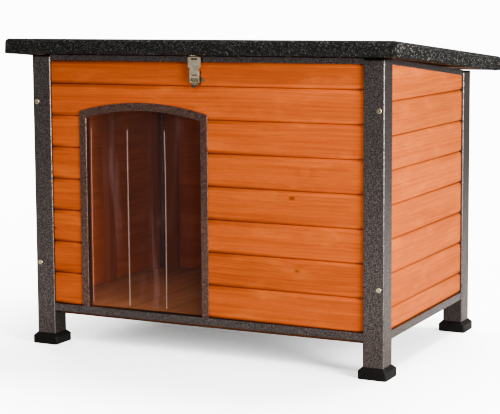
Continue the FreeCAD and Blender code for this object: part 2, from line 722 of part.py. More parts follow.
# ---------------------------------------------------------------- roof
def on_roof(shape):
    """Roof coordinates, with Y down the slope and Z square to it, to the closed roof."""
    moved = shape.copy()
    moved.rotate(V(0, 0, 0), V(1, 0, 0), -ROOF_SLOPE)
    moved.translate(V(0, ROOF_FRONT_Y, ROOF_FRONT_Z))
    return moved


def down_slope(y, z):
    """Roof coordinates of a point given by its depth and height."""
    dy, dz = y - ROOF_FRONT_Y, z - ROOF_FRONT_Z
    along = dy * math.cos(SLOPE) - dz * math.sin(SLOPE)
    across = dy * math.sin(SLOPE) + dz * math.cos(SLOPE)
    return along, across


def roof_block(inset, z0, z1):
    """Roof-shaped slab with rounded corners and a rounded upper edge."""
    half = ROOF_WIDTH / 2 - inset
    slab = box(-half, half, inset, ROOF_LENGTH - inset, z0, z1)
    slab = slab.makeFillet(ROOF_PLAN_R - inset, edges_along(slab, V(0, 0, 1)))
    return slab.makeFillet(ROOF_TOP_R - inset, edges_at_height(slab, z1))


def roof_boards():
    """Roof boards from side to side, cut from one rounded slab."""
    slab = roof_block(FELT_T, 0.0, ROOF_BOARD_T)
    pitch = (ROOF_LENGTH - 2 * FELT_T) / ROOF_BOARDS
    boards = []
    for i in range(ROOF_BOARDS):
        y0 = FELT_T + i * pitch
        strip = box(-ROOF_WIDTH, ROOF_WIDTH, y0, y0 + pitch, 0, ROOF_BOARD_T)
        boards.append(on_roof(slab.common(strip)))
    return boards


def roof_felt():
    """Felt over the top and edges, turned in underneath."""
    skin = roof_block(0.0, -FELT_UNDER_T, ROOF_T).cut(roof_block(FELT_T, 0.0, ROOF_BOARD_T))
    half = ROOF_WIDTH / 2 - FELT_RETURN
    bare = box(-half, half, FELT_RETURN, ROOF_LENGTH - FELT_RETURN, -FELT_UNDER_T, 0)
    return on_roof(skin.cut(bare))


def cleat_span():
    """Start and end of the roof cleats, down the slope, clear inside the walls."""
    start, _ = down_slope(FRONT_Y + BATTEN_INNER + CLEAT_WALL_GAP, ROOF_FRONT_Z)
    end, _ = down_slope(BACK_Y - BATTEN_INNER - CLEAT_WALL_GAP, ROOF_FRONT_Z)
    return start, end


def cleat_screw_seats():
    """Screw heads under the cleats, one to each roof board that the cleat crosses."""
    start, end = cleat_span()
    pitch = (ROOF_LENGTH - 2 * FELT_T) / ROOF_BOARDS
    seats = []
    for i in range(ROOF_BOARDS):
        y = FELT_T + (i + 0.5) * pitch
        if start + CLEAT_W / 2 < y < end - CLEAT_W / 2:
            seats.extend([V(-CLEAT_X, y, -CLEAT_T), V(CLEAT_X, y, -CLEAT_T)])
    return seats


def roof_cleats():
    """Two cleats that tie the roof boards together inside the walls."""
    start, end = cleat_span()
    cleats = []
    for side in (-1, 1):
        x = side * CLEAT_X
        cleat = box(x - CLEAT_W / 2, x + CLEAT_W / 2, start, end, -CLEAT_T, 0)
        cleat = cleat.makeChamfer(CLEAT_CHAMFER, edges_at_height(cleat, -CLEAT_T))
        cleats.append(on_roof(cleat))
    return cleats


def nail_places():
    """Nail positions round the roof's turned-in felt, in roof coordinates."""
    half = ROOF_WIDTH / 2 - NAIL_EDGE
    count_x = round(2 * half / NAIL_PITCH) + 1
    count_y = round((ROOF_LENGTH - 2 * NAIL_EDGE) / NAIL_PITCH) + 1
    places = []
    for x in spread(count_x, -half, half):
        places.extend([(x, NAIL_EDGE), (x, ROOF_LENGTH - NAIL_EDGE)])
    for y in spread(count_y, NAIL_EDGE, ROOF_LENGTH - NAIL_EDGE)[1:-1]:
        places.extend([(-half, y), (half, y)])
    return places


def roof_nails():
    """Clout nails through the felt into the edge of the roof boards."""
    nails = []
    for x, y in nail_places():
        head = cylinder(NAIL_HEAD_R, V(x, y, -FELT_UNDER_T - NAIL_HEAD_H), V(x, y, -FELT_UNDER_T))
        shank = cylinder(NAIL_SHANK_R, V(x, y, -FELT_UNDER_T), V(x, y, NAIL_LENGTH - FELT_UNDER_T))
        nails.append(on_roof(head.fuse(shank)))
    return nails


def nail_cutter():
    """Cutters for the nails in the roof boards and felt."""
    bars = [on_roof(cylinder(NAIL_SHANK_R + SCREW_FIT, V(x, y, -FELT_UNDER_T - NAIL_HEAD_H),
                             V(x, y, NAIL_LENGTH + SCREW_FIT)))
            for x, y in nail_places()]
    return Part.makeCompound(bars)


# ---------------------------------------------------------------- roof hinges
def knuckle_spans(x, own_first):
    """X ranges of every second knuckle of the hinge at x."""
    length = HINGE_W / HINGE_KNUCKLES
    starts = [x - HINGE_W / 2 + i * length for i in range(0 if own_first else 1, HINGE_KNUCKLES, 2)]
    return [(start + KNUCKLE_GAP / 2, start + length - KNUCKLE_GAP / 2) for start in starts]


def hinge_leaf(x, own_first, plate_root, plate_rest, axis_y, axis_z):
    """Leaf from its plate and knuckles, bored for the pin."""
    leaf = plate_rest
    for x0, x1 in knuckle_spans(x, own_first):
        leaf = leaf.fuse(cylinder(KNUCKLE_R, V(x0, axis_y, axis_z), V(x1, axis_y, axis_z)))
        leaf = leaf.fuse(plate_root(x0, x1))
    bore = cylinder(HINGE_PIN_R + PIN_FIT, V(x - HINGE_W, axis_y, axis_z), V(x + HINGE_W, axis_y, axis_z))
    return leaf.cut(bore).removeSplitter()


def frame_leaf_screws(x):
    """Screw seats of the leaf on the back rail."""
    y = BACK_RAIL_FACE_Y + HINGE_LEAF_T
    reach = HINGE_SCREW_PITCH * (HINGE_SCREWS - 1) / 2
    return [V(px, y, HINGE_Z - HINGE_SCREW_OUT) for px in spread(HINGE_SCREWS, x - reach, x + reach)]


def hinge_frame_leaf(x):
    """Leaf screwed to the back of the back top rail."""
    y0, y1 = BACK_RAIL_FACE_Y, BACK_RAIL_FACE_Y + HINGE_LEAF_T
    edge = HINGE_Z - KNUCKLE_R - KNUCKLE_GAP

    def root(x0, x1):
        return box(x0, x1, y0, y1, edge, HINGE_Z)

    plate = box(x - HINGE_W / 2, x + HINGE_W / 2, y0, y1, HINGE_Z - HINGE_LEAF_DROP, edge)
    leaf = hinge_leaf(x, True, root, plate, HINGE_Y, HINGE_Z)
    for seat in frame_leaf_screws(x):
        leaf = leaf.cut(screw_hole(seat, V(0, -1, 0), SCREW_LENGTH, HOLE_SLACK))
    return leaf


def roof_leaf_screws(x):
    """Screw seats of the leaf under the roof, in roof coordinates."""
    along, _ = down_slope(HINGE_Y, HINGE_Z)
    reach = HINGE_SCREW_PITCH * (HINGE_SCREWS - 2) / 2
    return [V(px, along + HINGE_SCREW_OUT, -HINGE_LEAF_T)
            for px in spread(HINGE_SCREWS - 1, x - reach, x + reach)]


def hinge_roof_leaf(x):
    """Leaf screwed to the underside of the roof, behind the back rail."""
    along, across = down_slope(HINGE_Y, HINGE_Z)
    edge = along + KNUCKLE_R + KNUCKLE_GAP

    def root(x0, x1):
        return box(x0, x1, along, edge, -HINGE_LEAF_T, 0)

    plate = box(x - HINGE_W / 2, x + HINGE_W / 2, edge, along + HINGE_LEAF_DROP, -HINGE_LEAF_T, 0)
    leaf = hinge_leaf(x, False, root, plate, along, across)
    for seat in roof_leaf_screws(x):
        leaf = leaf.cut(screw_hole(seat, V(0, 0, 1), SCREW_LENGTH, HOLE_SLACK))
    return on_roof(leaf)


def hinge_pin(x):
    """Pin through the knuckles, with a head at each end."""
    half = HINGE_W / 2
    pin = cylinder(HINGE_PIN_R, V(x - half, HINGE_Y, HINGE_Z), V(x + half, HINGE_Y, HINGE_Z))
    for side in (-1, 1):
        start = V(x + side * half, HINGE_Y, HINGE_Z)
        pin = pin.fuse(cylinder(HINGE_PIN_HEAD_R, start, start + V(side * HINGE_PIN_HEAD_H, 0, 0)))
    return pin.removeSplitter()


# ---------------------------------------------------------------- toggle latch
def lug_x():
    """Inner and outer X of the base's right-hand lug, from the latch's middle."""
    inner = LEVER_W / 2 + LATCH_GAP
    return inner, inner + LATCH_SHEET_T


def cheek_x():
    """Inner and outer X of the strap's right-hand cheek, from the latch's middle."""
    inner = lug_x()[1] + LATCH_GAP
    return inner, inner + LATCH_SHEET_T


def at_latch(shape):
    """Latch coordinates, from its middle, to its place on the front."""
    moved = shape.copy()
    moved.translate(V(LATCH_X, 0, 0))
    return moved


def both_sides(shape):
    """A shape and its mirror image."""
    return shape.fuse(mirror_x(shape))


def base_screw_seats():
    """Screw heads on the base's ears, in latch coordinates."""
    z = LATCH_PIVOT_Z - BASE_EAR_DROP
    return [V(x, LATCH_FACE_Y - LATCH_SHEET_T, z) for x in (-BASE_EAR_X, BASE_EAR_X)]


def latch_base():
    """Plate on the boards with an ear each side and two lugs for the lever."""
    y0, y1 = LATCH_FACE_Y - LATCH_SHEET_T, LATCH_FACE_Y
    z0, z1 = LATCH_PIVOT_Z - BASE_BOTTOM, LATCH_PIVOT_Z + BASE_TOP
    plate = box(-BASE_W / 2, BASE_W / 2, y0, y1, z0, z1)
    plate = plate.makeFillet(STRAP_CORNER_R, edges_along(plate, V(0, 1, 0)))
    for seat in base_screw_seats():
        ear = cylinder(BASE_EAR_R, V(seat.x, y0, seat.z), V(seat.x, y1, seat.z))
        plate = plate.fuse(ear)
    inner, outer = lug_x()
    lug = cylinder(LUG_R, V(inner, LATCH_PIVOT_Y, LATCH_PIVOT_Z), V(outer, LATCH_PIVOT_Y, LATCH_PIVOT_Z))
    lug = lug.fuse(box(inner, outer, LATCH_PIVOT_Y, y1, LATCH_PIVOT_Z - LUG_R, LATCH_PIVOT_Z + LUG_R))
    base = plate.fuse(both_sides(lug))
    bore = cylinder(LATCH_PIN_R + PIN_FIT, V(-BASE_W, LATCH_PIVOT_Y, LATCH_PIVOT_Z),
                    V(BASE_W, LATCH_PIVOT_Y, LATCH_PIVOT_Z))
    base = base.cut(bore)
    for seat in base_screw_seats():
        base = base.cut(screw_hole(seat, V(0, 1, 0), SCREW_LENGTH, HOLE_SLACK))
    return at_latch(base.removeSplitter())


def latch_lever():
    """Lever from its eye in the base down past the strap's pivot to a thumb tip."""
    half = LEVER_W / 2
    a = V(-half, LATCH_PIVOT_Y, LATCH_PIVOT_Z)
    b = V(-half, STRAP_PIVOT_Y, STRAP_PIVOT_Z)
    bend = V(-half, STRAP_PIVOT_Y - LEVER_T / 2, STRAP_PIVOT_Z - LEVER_TIP_DROP / 2)
    tip = V(-half, STRAP_PIVOT_Y - LEVER_TIP_OUT, STRAP_PIVOT_Z - LEVER_TIP_DROP)
    thick = V(0, LEVER_T, 0)
    half_thick = V(0, LEVER_T / 2, 0)
    outline = [a - half_thick, b - half_thick, bend - half_thick, tip, tip + thick,
               bend + half_thick, b + half_thick, a + half_thick]
    plate = prism(outline, V(LEVER_W, 0, 0))
    lever = plate.fuse(cylinder(LATCH_EYE_R, a, a + V(LEVER_W, 0, 0)))
    lever = lever.fuse(cylinder(LATCH_EYE_R, b, b + V(LEVER_W, 0, 0)))
    for eye in (a, b):
        lever = lever.cut(cylinder(LATCH_PIN_R + PIN_FIT, eye, eye + V(LEVER_W, 0, 0)))
    rounded = box(-half, half, LATCH_PIVOT_Y - LEVER_W, LATCH_PIVOT_Y + LEVER_W, tip.z, a.z + LEVER_W)
    rounded = rounded.makeFillet(LEVER_CORNER_R, edges_along(rounded, V(0, 1, 0)))
    return at_latch(lever.common(rounded).removeSplitter())


def pivot_pin(y, z, half):
    """Pin across the latch."""
    return at_latch(cylinder(LATCH_PIN_R, V(-half, y, z), V(half, y, z)))


def latch_strap():
    """Strap with a slot for the catch, a waist, a window and two cheeks on its pivot."""
    y0, y1 = STRAP_BACK_Y - LATCH_SHEET_T, STRAP_BACK_Y
    base_z = LATCH_PIVOT_Z
    waist_z = base_z + STRAP_WAIST
    shoulder = base_z + STRAP_SHOULDER
    lower_half, waist_half, upper_half = STRAP_LOWER_W / 2, STRAP_WAIST_W / 2, STRAP_W / 2
    right = [V(lower_half, y0, base_z + STRAP_BOTTOM), V(lower_half, y0, waist_z - STRAP_WAIST_R),
             V(waist_half, y0, waist_z), V(upper_half, y0, shoulder),
             V(upper_half, y0, base_z + STRAP_TOP)]
    left = [V(-p.x, p.y, p.z) for p in reversed(right)]
    plate = prism(right + left, V(0, LATCH_SHEET_T, 0))
    top_corners = [e for e in edges_along(plate, V(0, 1, 0)) if e.BoundBox.ZMin > shoulder - 0.01]
    plate = plate.makeFillet(STRAP_CORNER_R, top_corners)
    slot_z = base_z + STRAP_SLOT_Z
    window_z = base_z + STRAP_WINDOW_Z
    plate = plate.cut(box(-STRAP_SLOT_W / 2, STRAP_SLOT_W / 2, y0, y1,
                          slot_z - STRAP_SLOT_H / 2, slot_z + STRAP_SLOT_H / 2))
    plate = plate.cut(box(-STRAP_WINDOW_W / 2, STRAP_WINDOW_W / 2, y0, y1,
                          window_z - STRAP_WINDOW_H / 2, window_z + STRAP_WINDOW_H / 2))
    inner, outer = cheek_x()
    cheek = box(inner, outer, y0, STRAP_PIVOT_Y, STRAP_PIVOT_Z, waist_z - STRAP_WAIST_R)
    cheek = cheek.fuse(cylinder(LATCH_EYE_R, V(inner, STRAP_PIVOT_Y, STRAP_PIVOT_Z),
                                V(outer, STRAP_PIVOT_Y, STRAP_PIVOT_Z)))
    strap = plate.fuse(both_sides(cheek))
    bore = cylinder(LATCH_PIN_R + PIN_FIT, V(-BASE_W, STRAP_PIVOT_Y, STRAP_PIVOT_Z),
                    V(BASE_W, STRAP_PIVOT_Y, STRAP_PIVOT_Z))
    return at_latch(strap.cut(bore).removeSplitter())


def catch_leg_back():
    """Back of the catch's hanging leg, down the slope."""
    return down_slope(FRONT_Y + RAIL_RECESS - CATCH_RAIL_GAP, ROOF_FRONT_Z)[0]


def catch_screw_seats():
    """Screw heads under the catch's plate, in roof coordinates."""
    leg = catch_leg_back()
    return [V(LATCH_X, leg - out, -LATCH_SHEET_T) for out in CATCH_SCREWS_OUT]


def latch_catch():
    """Plate under the roof with a hanging leg and a lip behind the strap's slot."""
    t = LATCH_SHEET_T
    leg = catch_leg_back()
    lip_z = roof_under(STRAP_BACK_Y) - CATCH_DROP
    tip, _ = down_slope(STRAP_BACK_Y + CATCH_STRAP_GAP, lip_z)
    half = CATCH_W / 2
    plate = box(-half, half, leg - CATCH_PLATE_L, leg, -t, 0)
    catch = plate.fuse(box(-half, half, leg - t, leg, -CATCH_DROP, 0))
    catch = catch.fuse(box(-half, half, tip, leg, -CATCH_DROP, -CATCH_DROP + t))
    catch.translate(V(LATCH_X, 0, 0))
    for seat in catch_screw_seats():
        catch = catch.cut(screw_hole(seat, V(0, 0, 1), SCREW_LENGTH, HOLE_SLACK))
    return on_roof(catch.removeSplitter())


# ---------------------------------------------------------------- screws in groups, and their holes
def screws_on_frame():
    """Small screws in the frame body: hinge leaves and latch base."""
    screws = []
    for x in (-HINGE_X, HINGE_X):
        screws.extend(hardware_screw(seat, V(0, -1, 0)) for seat in frame_leaf_screws(x))
    screws.extend(at_latch(hardware_screw(seat, V(0, 1, 0))) for seat in base_screw_seats())
    return screws


def roof_screw_places():
    """Seats of the small screws that go up into the roof, in roof coordinates."""
    places = cleat_screw_seats() + catch_screw_seats()
    for x in (-HINGE_X, HINGE_X):
        places.extend(roof_leaf_screws(x))
    return places


def screws_on_roof():
    """Small screws in the roof body: cleats, hinge leaves and catch."""
    up = V(0, 0, 1)
    return [on_roof(hardware_screw(seat, up, SCREW_LENGTH - seat.z)) for seat in roof_screw_places()]


def roof_screw_cutter():
    """Cutters for the screws in the roof boards and cleats."""
    bars = [on_roof(cylinder(SCREW_R + SCREW_FIT, seat, V(seat.x, seat.y, SCREW_LENGTH + SCREW_FIT)))
            for seat in roof_screw_places()]
    return Part.makeCompound(bars)


def frame_hardware_cutter():
    """Cutters for the small screws in the back rail and the front boards."""
    depth = SCREW_LENGTH + RUN_OUT
    seats = frame_leaf_screws(-HINGE_X) + frame_leaf_screws(HINGE_X) + clamp_screw_seats()
    bars = [screw_hole(seat, V(0, -1, 0), depth, SCREW_FIT) for seat in seats]
    bars.extend(at_latch(screw_hole(seat, V(0, 1, 0), depth, SCREW_FIT)) for seat in base_screw_seats())
    return Part.makeCompound(bars)


# ---------------------------------------------------------------- the kennel
def build():
    """Make every piece and write it as its own node."""
    os.makedirs("parts", exist_ok=True)
    corners = (("front_left", -1, False), ("front_right", 1, False),
               ("back_left", -1, True), ("back_right", 1, True))
    for place, side, back in corners:
        save("post_" + place, post(side, back))
        save("foot_" + place, foot(side, back))
    save("post_caps", *[post_cap(side, back) for _, side, back in corners])
    save("frame_screws", *frame_screws())

    small_holes = frame_hardware_cutter()
    save("front_bottom_rail", front_rail(BOTTOM_RAIL_Z, BOTTOM_RAIL_H))
    save("back_bottom_rail", back_rail(BOTTOM_RAIL_Z, BOTTOM_RAIL_H))
    save("front_top_rail", front_rail(FRONT_RAIL_Z, TOP_RAIL_H))
    save("back_top_rail", back_rail(BACK_RAIL_Z, BACK_TOP_RAIL_H).cut(small_holes))
    save("right_bottom_rail", right_bottom_rail())
    save("left_bottom_rail", mirror_x(right_bottom_rail()))
    save("right_top_rail", right_top_rail())
    save("left_top_rail", mirror_x(right_top_rail()))

    for group, boards in front_boards().items():
        save("front_boards_" + group, *[board.cut(small_holes) for board in boards])
    save("front_battens", *front_battens())
    save("right_boards", *right_boards())
    save("left_boards", *[mirror_x(board) for board in right_boards()])
    save("right_battens", *right_battens())
    save("left_battens", *[mirror_x(piece) for piece in right_battens()])
    save("back_boards", *back_boards())
    save("back_battens", *back_battens())

    left_jamb, arch, right_jamb = door_frame()
    save("door_jamb_left", left_jamb)
    save("door_arch", arch)
    save("door_jamb_right", right_jamb)
    save("curtain_head", curtain_head())
    for name, strip in zip(("left", "middle", "right"), curtain_strips()):
        save("curtain_strip_" + name, strip)
    save("curtain_clamp_bar", clamp_bar())
    save("curtain_screws", *[hardware_screw(seat, V(0, -1, 0)) for seat in clamp_screw_seats()])

    save("floor_bearers", *floor_bearers())
    save("floor_boards", *floor_boards())

    roof_holes = Part.makeCompound([roof_screw_cutter(), nail_cutter()])
    save("roof_boards", *[board.cut(roof_holes) for board in roof_boards()])
    save("roof_cleats", *[cleat.cut(roof_screw_cutter()) for cleat in roof_cleats()])
    save("roof_felt", roof_felt().cut(nail_cutter()))
    save("roof_nails", *roof_nails())
    for name, x in (("left", -HINGE_X), ("right", HINGE_X)):
        save("hinge_" + name + "_frame_leaf", hinge_frame_leaf(x))
        save("hinge_" + name + "_roof_leaf", hinge_roof_leaf(x))
        save("hinge_" + name + "_pin", hinge_pin(x))
    save("frame_hardware_screws", *screws_on_frame())
    save("roof_hardware_screws", *screws_on_roof())

    save("latch_base", latch_base())
    save("latch_lever", latch_lever())
    save("latch_strap", latch_strap())
    save("latch_lever_pin", pivot_pin(LATCH_PIVOT_Y, LATCH_PIVOT_Z, lug_x()[1]))
    save("latch_strap_pin", pivot_pin(STRAP_PIVOT_Y, STRAP_PIVOT_Z, cheek_x()[1]))
    save("latch_catch", latch_catch())


build()
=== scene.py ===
"""Looks of the raised dog house: finishes, vinyl curtain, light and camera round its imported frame."""

import logging
import math
from dataclasses import dataclass
from enum import Enum
from typing import Any, Dict, List, Optional, Sequence, Tuple, Union

import bmesh
import bpy
from mathutils import Matrix, Vector


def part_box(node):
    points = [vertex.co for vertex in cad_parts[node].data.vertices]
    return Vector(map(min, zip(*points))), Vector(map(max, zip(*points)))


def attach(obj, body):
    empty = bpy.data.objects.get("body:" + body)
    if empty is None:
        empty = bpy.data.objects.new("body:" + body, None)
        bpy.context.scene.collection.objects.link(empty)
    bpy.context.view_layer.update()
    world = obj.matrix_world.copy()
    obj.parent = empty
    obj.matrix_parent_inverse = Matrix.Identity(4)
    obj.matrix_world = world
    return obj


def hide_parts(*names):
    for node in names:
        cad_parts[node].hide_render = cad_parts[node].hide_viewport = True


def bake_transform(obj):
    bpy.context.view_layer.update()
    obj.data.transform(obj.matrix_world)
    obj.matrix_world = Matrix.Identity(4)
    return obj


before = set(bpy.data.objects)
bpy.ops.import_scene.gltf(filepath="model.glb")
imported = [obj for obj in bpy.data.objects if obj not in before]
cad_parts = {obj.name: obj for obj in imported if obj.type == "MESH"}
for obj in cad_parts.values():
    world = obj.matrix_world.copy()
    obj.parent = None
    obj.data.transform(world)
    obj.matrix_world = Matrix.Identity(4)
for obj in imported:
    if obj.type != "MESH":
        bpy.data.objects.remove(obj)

LOG = logging.getLogger("dog_house")

Colour = Tuple[float, float, float]
Number = Union[int, float]


class Axis(Enum):
    """Direction of the row frame, as the index of its coordinate."""

    X = 0
    Y = 1
    Z = 2


# ---------------------------------------------------------------- shader expressions
class Field:
    """A number that varies over a surface: an output socket with arithmetic on it."""

    def __init__(self, sheet: "NodeSheet", socket: bpy.types.NodeSocket) -> None:
        """Keep the socket and the sheet that its nodes belong to.

        Args:
            sheet: the node sheet.
            socket: the output that carries the value.
        """
        self.sheet = sheet
        self.socket = socket

    def _math(self, operation: str, *values: Any, clamp: bool = False) -> "Field":
        """Add a Math node.

        Args:
            operation: the node's operation.
            values: its inputs, in order.
            clamp: keep the result between 0 and 1.

        Returns:
            The node's result.
        """
        settings = {"operation": operation, "use_clamp": clamp}
        return self.sheet.add("ShaderNodeMath", settings, dict(enumerate(values)))

    def __add__(self, other: Any) -> "Field":
        """Sum."""
        return self._math("ADD", self, other)

    __radd__ = __add__

    def __sub__(self, other: Any) -> "Field":
        """Difference."""
        return self._math("SUBTRACT", self, other)

    def __rsub__(self, other: Any) -> "Field":
        """Difference from a number."""
        return self._math("SUBTRACT", other, self)

    def __mul__(self, other: Any) -> "Field":
        """Product."""
        return self._math("MULTIPLY", self, other)

    __rmul__ = __mul__

    def __truediv__(self, other: Any) -> "Field":
        """Quotient."""
        return self._math("DIVIDE", self, other)

    def __pow__(self, other: Any) -> "Field":
        """Power."""
        return self._math("POWER", self, other)

    def floor(self) -> "Field":
        """Whole part."""
        return self._math("FLOOR", self)

    def fraction(self) -> "Field":
        """Part after the point."""
        return self._math("FRACT", self)

    def root(self) -> "Field":
        """Square root."""
        return self._math("SQRT", self)

    def absolute(self) -> "Field":
        """Size without sign."""
        return self._math("ABSOLUTE", self)

    def clamped(self) -> "Field":
        """The value kept between 0 and 1."""
        return self._math("ADD", self, 0.0, clamp=True)

    def ramp(self, low: Number, high: Number) -> "Field":
        """Smooth step from 0 at low to 1 at high; low may be the larger.

        Args:
            low: value that gives 0.
            high: value that gives 1.

        Returns:
            The smooth step.
        """
        settings = {"interpolation_type": "SMOOTHSTEP"}
        if low <= high:
            inputs = {"Value": self, "From Min": low, "From Max": high}
            return self.sheet.add("ShaderNodeMapRange", settings, inputs)
        inputs = {"Value": self, "From Min": high, "From Max": low, "To Min": 1.0, "To Max": 0.0}
        return self.sheet.add("ShaderNodeMapRange", settings, inputs)


class NodeSheet:
    """Node sheet of a material or of the world."""

    def __init__(self, tree: bpy.types.NodeTree) -> None:
        """Clear the sheet.

        Args:
            tree: the sheet's node tree.
        """
        self.tree = tree
        self.tree.nodes.clear()
        self._place: Optional[Field] = None

    def _plug(self, node: bpy.types.Node, key: Union[int, str], value: Any) -> None:
        """Link or set one input.

        Args:
            node: the node.
            key: index or name of its input.
            value: a Field to link, or a number, colour or vector to set.
        """
        socket = node.inputs[key]
        if isinstance(value, Field):
            self.tree.links.new(value.socket, socket)
        elif socket.type == "RGBA" and len(value) == 3:
            socket.default_value = (*value, 1.0)
        else:
            socket.default_value = value

    def add(self, kind: str, settings: Optional[Dict[str, Any]] = None,
            inputs: Optional[Dict[Union[int, str], Any]] = None,
            output: Union[int, str, None] = 0) -> Optional[Field]:
        """Add any node.

        Args:
            kind: the node's type.
            settings: its attributes, set before its inputs; stops fills a colour ramp.
            inputs: values or fields by input name or index.
            output: name or index of the output to return, or None for an end node.

        Returns:
            The chosen output, if any.
        """
        node = self.tree.nodes.new(kind)
        for key, value in (settings or {}).items():
            if key == "stops":
                self._fill_ramp(node, value)
            else:
                setattr(node, key, value)
        for key, value in (inputs or {}).items():
            self._plug(node, key, value)
        return None if output is None else Field(self, node.outputs[output])

    @staticmethod
    def _fill_ramp(node: bpy.types.Node, stops: Sequence[Tuple[float, Colour]]) -> None:
        """Set a colour ramp's stops.

        Args:
            node: the ramp.
            stops: places from 0 to 1, each with its colour.
        """
        elements = node.color_ramp.elements
        while len(elements) < len(stops):
            elements.new(0.5)
        for element, (place, colour) in zip(elements, stops):
            element.position = place
            element.color = (*colour, 1.0)

    def place(self) -> Field:
        """Where the point lies in the row frame, at rest."""
        if self._place is None:
            self._place = self.add("ShaderNodeTexCoord", output="Object")
        return self._place

    def split(self, vector: Field) -> List[Field]:
        """The three parts of a vector."""
        node = self.tree.nodes.new("ShaderNodeSeparateXYZ")
        self.tree.links.new(vector.socket, node.inputs[0])
        return [Field(self, socket) for socket in node.outputs]

    def join(self, x: Any, y: Any, z: Any) -> Field:
        """A vector from its three parts."""
        return self.add("ShaderNodeCombineXYZ", inputs={0: x, 1: y, 2: z})

    def shift(self, vector: Field, by: Field) -> Field:
        """A vector moved by another."""
        return self.add("ShaderNodeVectorMath", {"operation": "ADD"}, {0: vector, 1: by})

    def noise(self, vector: Field, scale: float, detail: float = 2.0, rough: float = 0.5,
              output: str = "Fac") -> Field:
        """Fractal noise.

        Args:
            vector: where it is read.
            scale: cells to the metre.
            detail: octaves.
            rough: strength of the finer octaves.
            output: Fac or Color.

        Returns:
            Noise from 0 to 1, or a colour.
        """
        inputs = {"Vector": vector, "Scale": scale, "Detail": detail, "Roughness": rough}
        return self.add("ShaderNodeTexNoise", {"noise_dimensions": "3D"}, inputs, output)

    def cells(self, vector: Field, scale: float, output: str = "Distance", smooth: float = 0.0) -> Field:
        """Cellular pattern.

        Args:
            vector: where it is read.
            scale: cells to the metre.
            output: Distance or Color.
            smooth: blending between cells.

        Returns:
            Distance to the cell's middle in cells, or the cell's own colour.
        """
        settings = {"voronoi_dimensions": "3D", "feature": "SMOOTH_F1" if smooth else "F1"}
        inputs = {"Vector": vector, "Scale": scale}
        if smooth:
            inputs["Smoothness"] = smooth
        return self.add("ShaderNodeTexVoronoi", settings, inputs, output)

    def chance(self, value: Field, seed: float) -> Field:
        """A number from 0 to 1 that is the same wherever value is the same."""
        settings = {"noise_dimensions": "1D"}
        return self.add("ShaderNodeTexWhiteNoise", settings, {"W": value + seed}, "Value")

    def blend(self, share: Any, first: Any, second: Any, mode: str = "MIX") -> Field:
        """Mix two colours.

        Args:
            share: how much of the second.
            first: colour or field.
            second: colour or field.
            mode: how they are mixed.

        Returns:
            The mixed colour.
        """
        return self.add("ShaderNodeMix", {"data_type": "RGBA", "blend_type": mode},
                        {0: share, 6: first, 7: second}, 2)

    def grey(self, value: Field) -> Field:
        """A number as a grey colour."""
        return self.add("ShaderNodeCombineColor", inputs={0: value, 1: value, 2: value})


class ShaderSheet(NodeSheet):
    """Node sheet of one material, with a Principled shader at its end."""

    def __init__(self, name: str) -> None:
        """Make the material and its shader.

        Args:
            name: the material's name.
        """
        self.material = bpy.data.materials.new(name)
        self.material.use_nodes = True
        super().__init__(self.material.node_tree)
        output = self.tree.nodes.new("ShaderNodeOutputMaterial")
        self.shader = self.tree.nodes.new("ShaderNodeBsdfPrincipled")
        self.tree.links.new(self.shader.outputs[0], output.inputs[0])

    def bump(self, height: Field, strength: float, depth: float) -> None:
        """Feed the shader's Normal from a height.

        Args:
            height: height from 0 to 1.
            strength: share of the effect.
            depth: what a height of 1 measures, in metres.
        """
        inputs = {"Strength": strength, "Distance": depth, "Height": height}
        self.set(Normal=self.add("ShaderNodeBump", inputs=inputs))

    def set(self, **values: Any) -> None:
        """Set or link inputs of the Principled shader; an underscore in a name is a space."""
        for name, value in values.items():
            self._plug(self.shader, name.replace("_", " "), value)


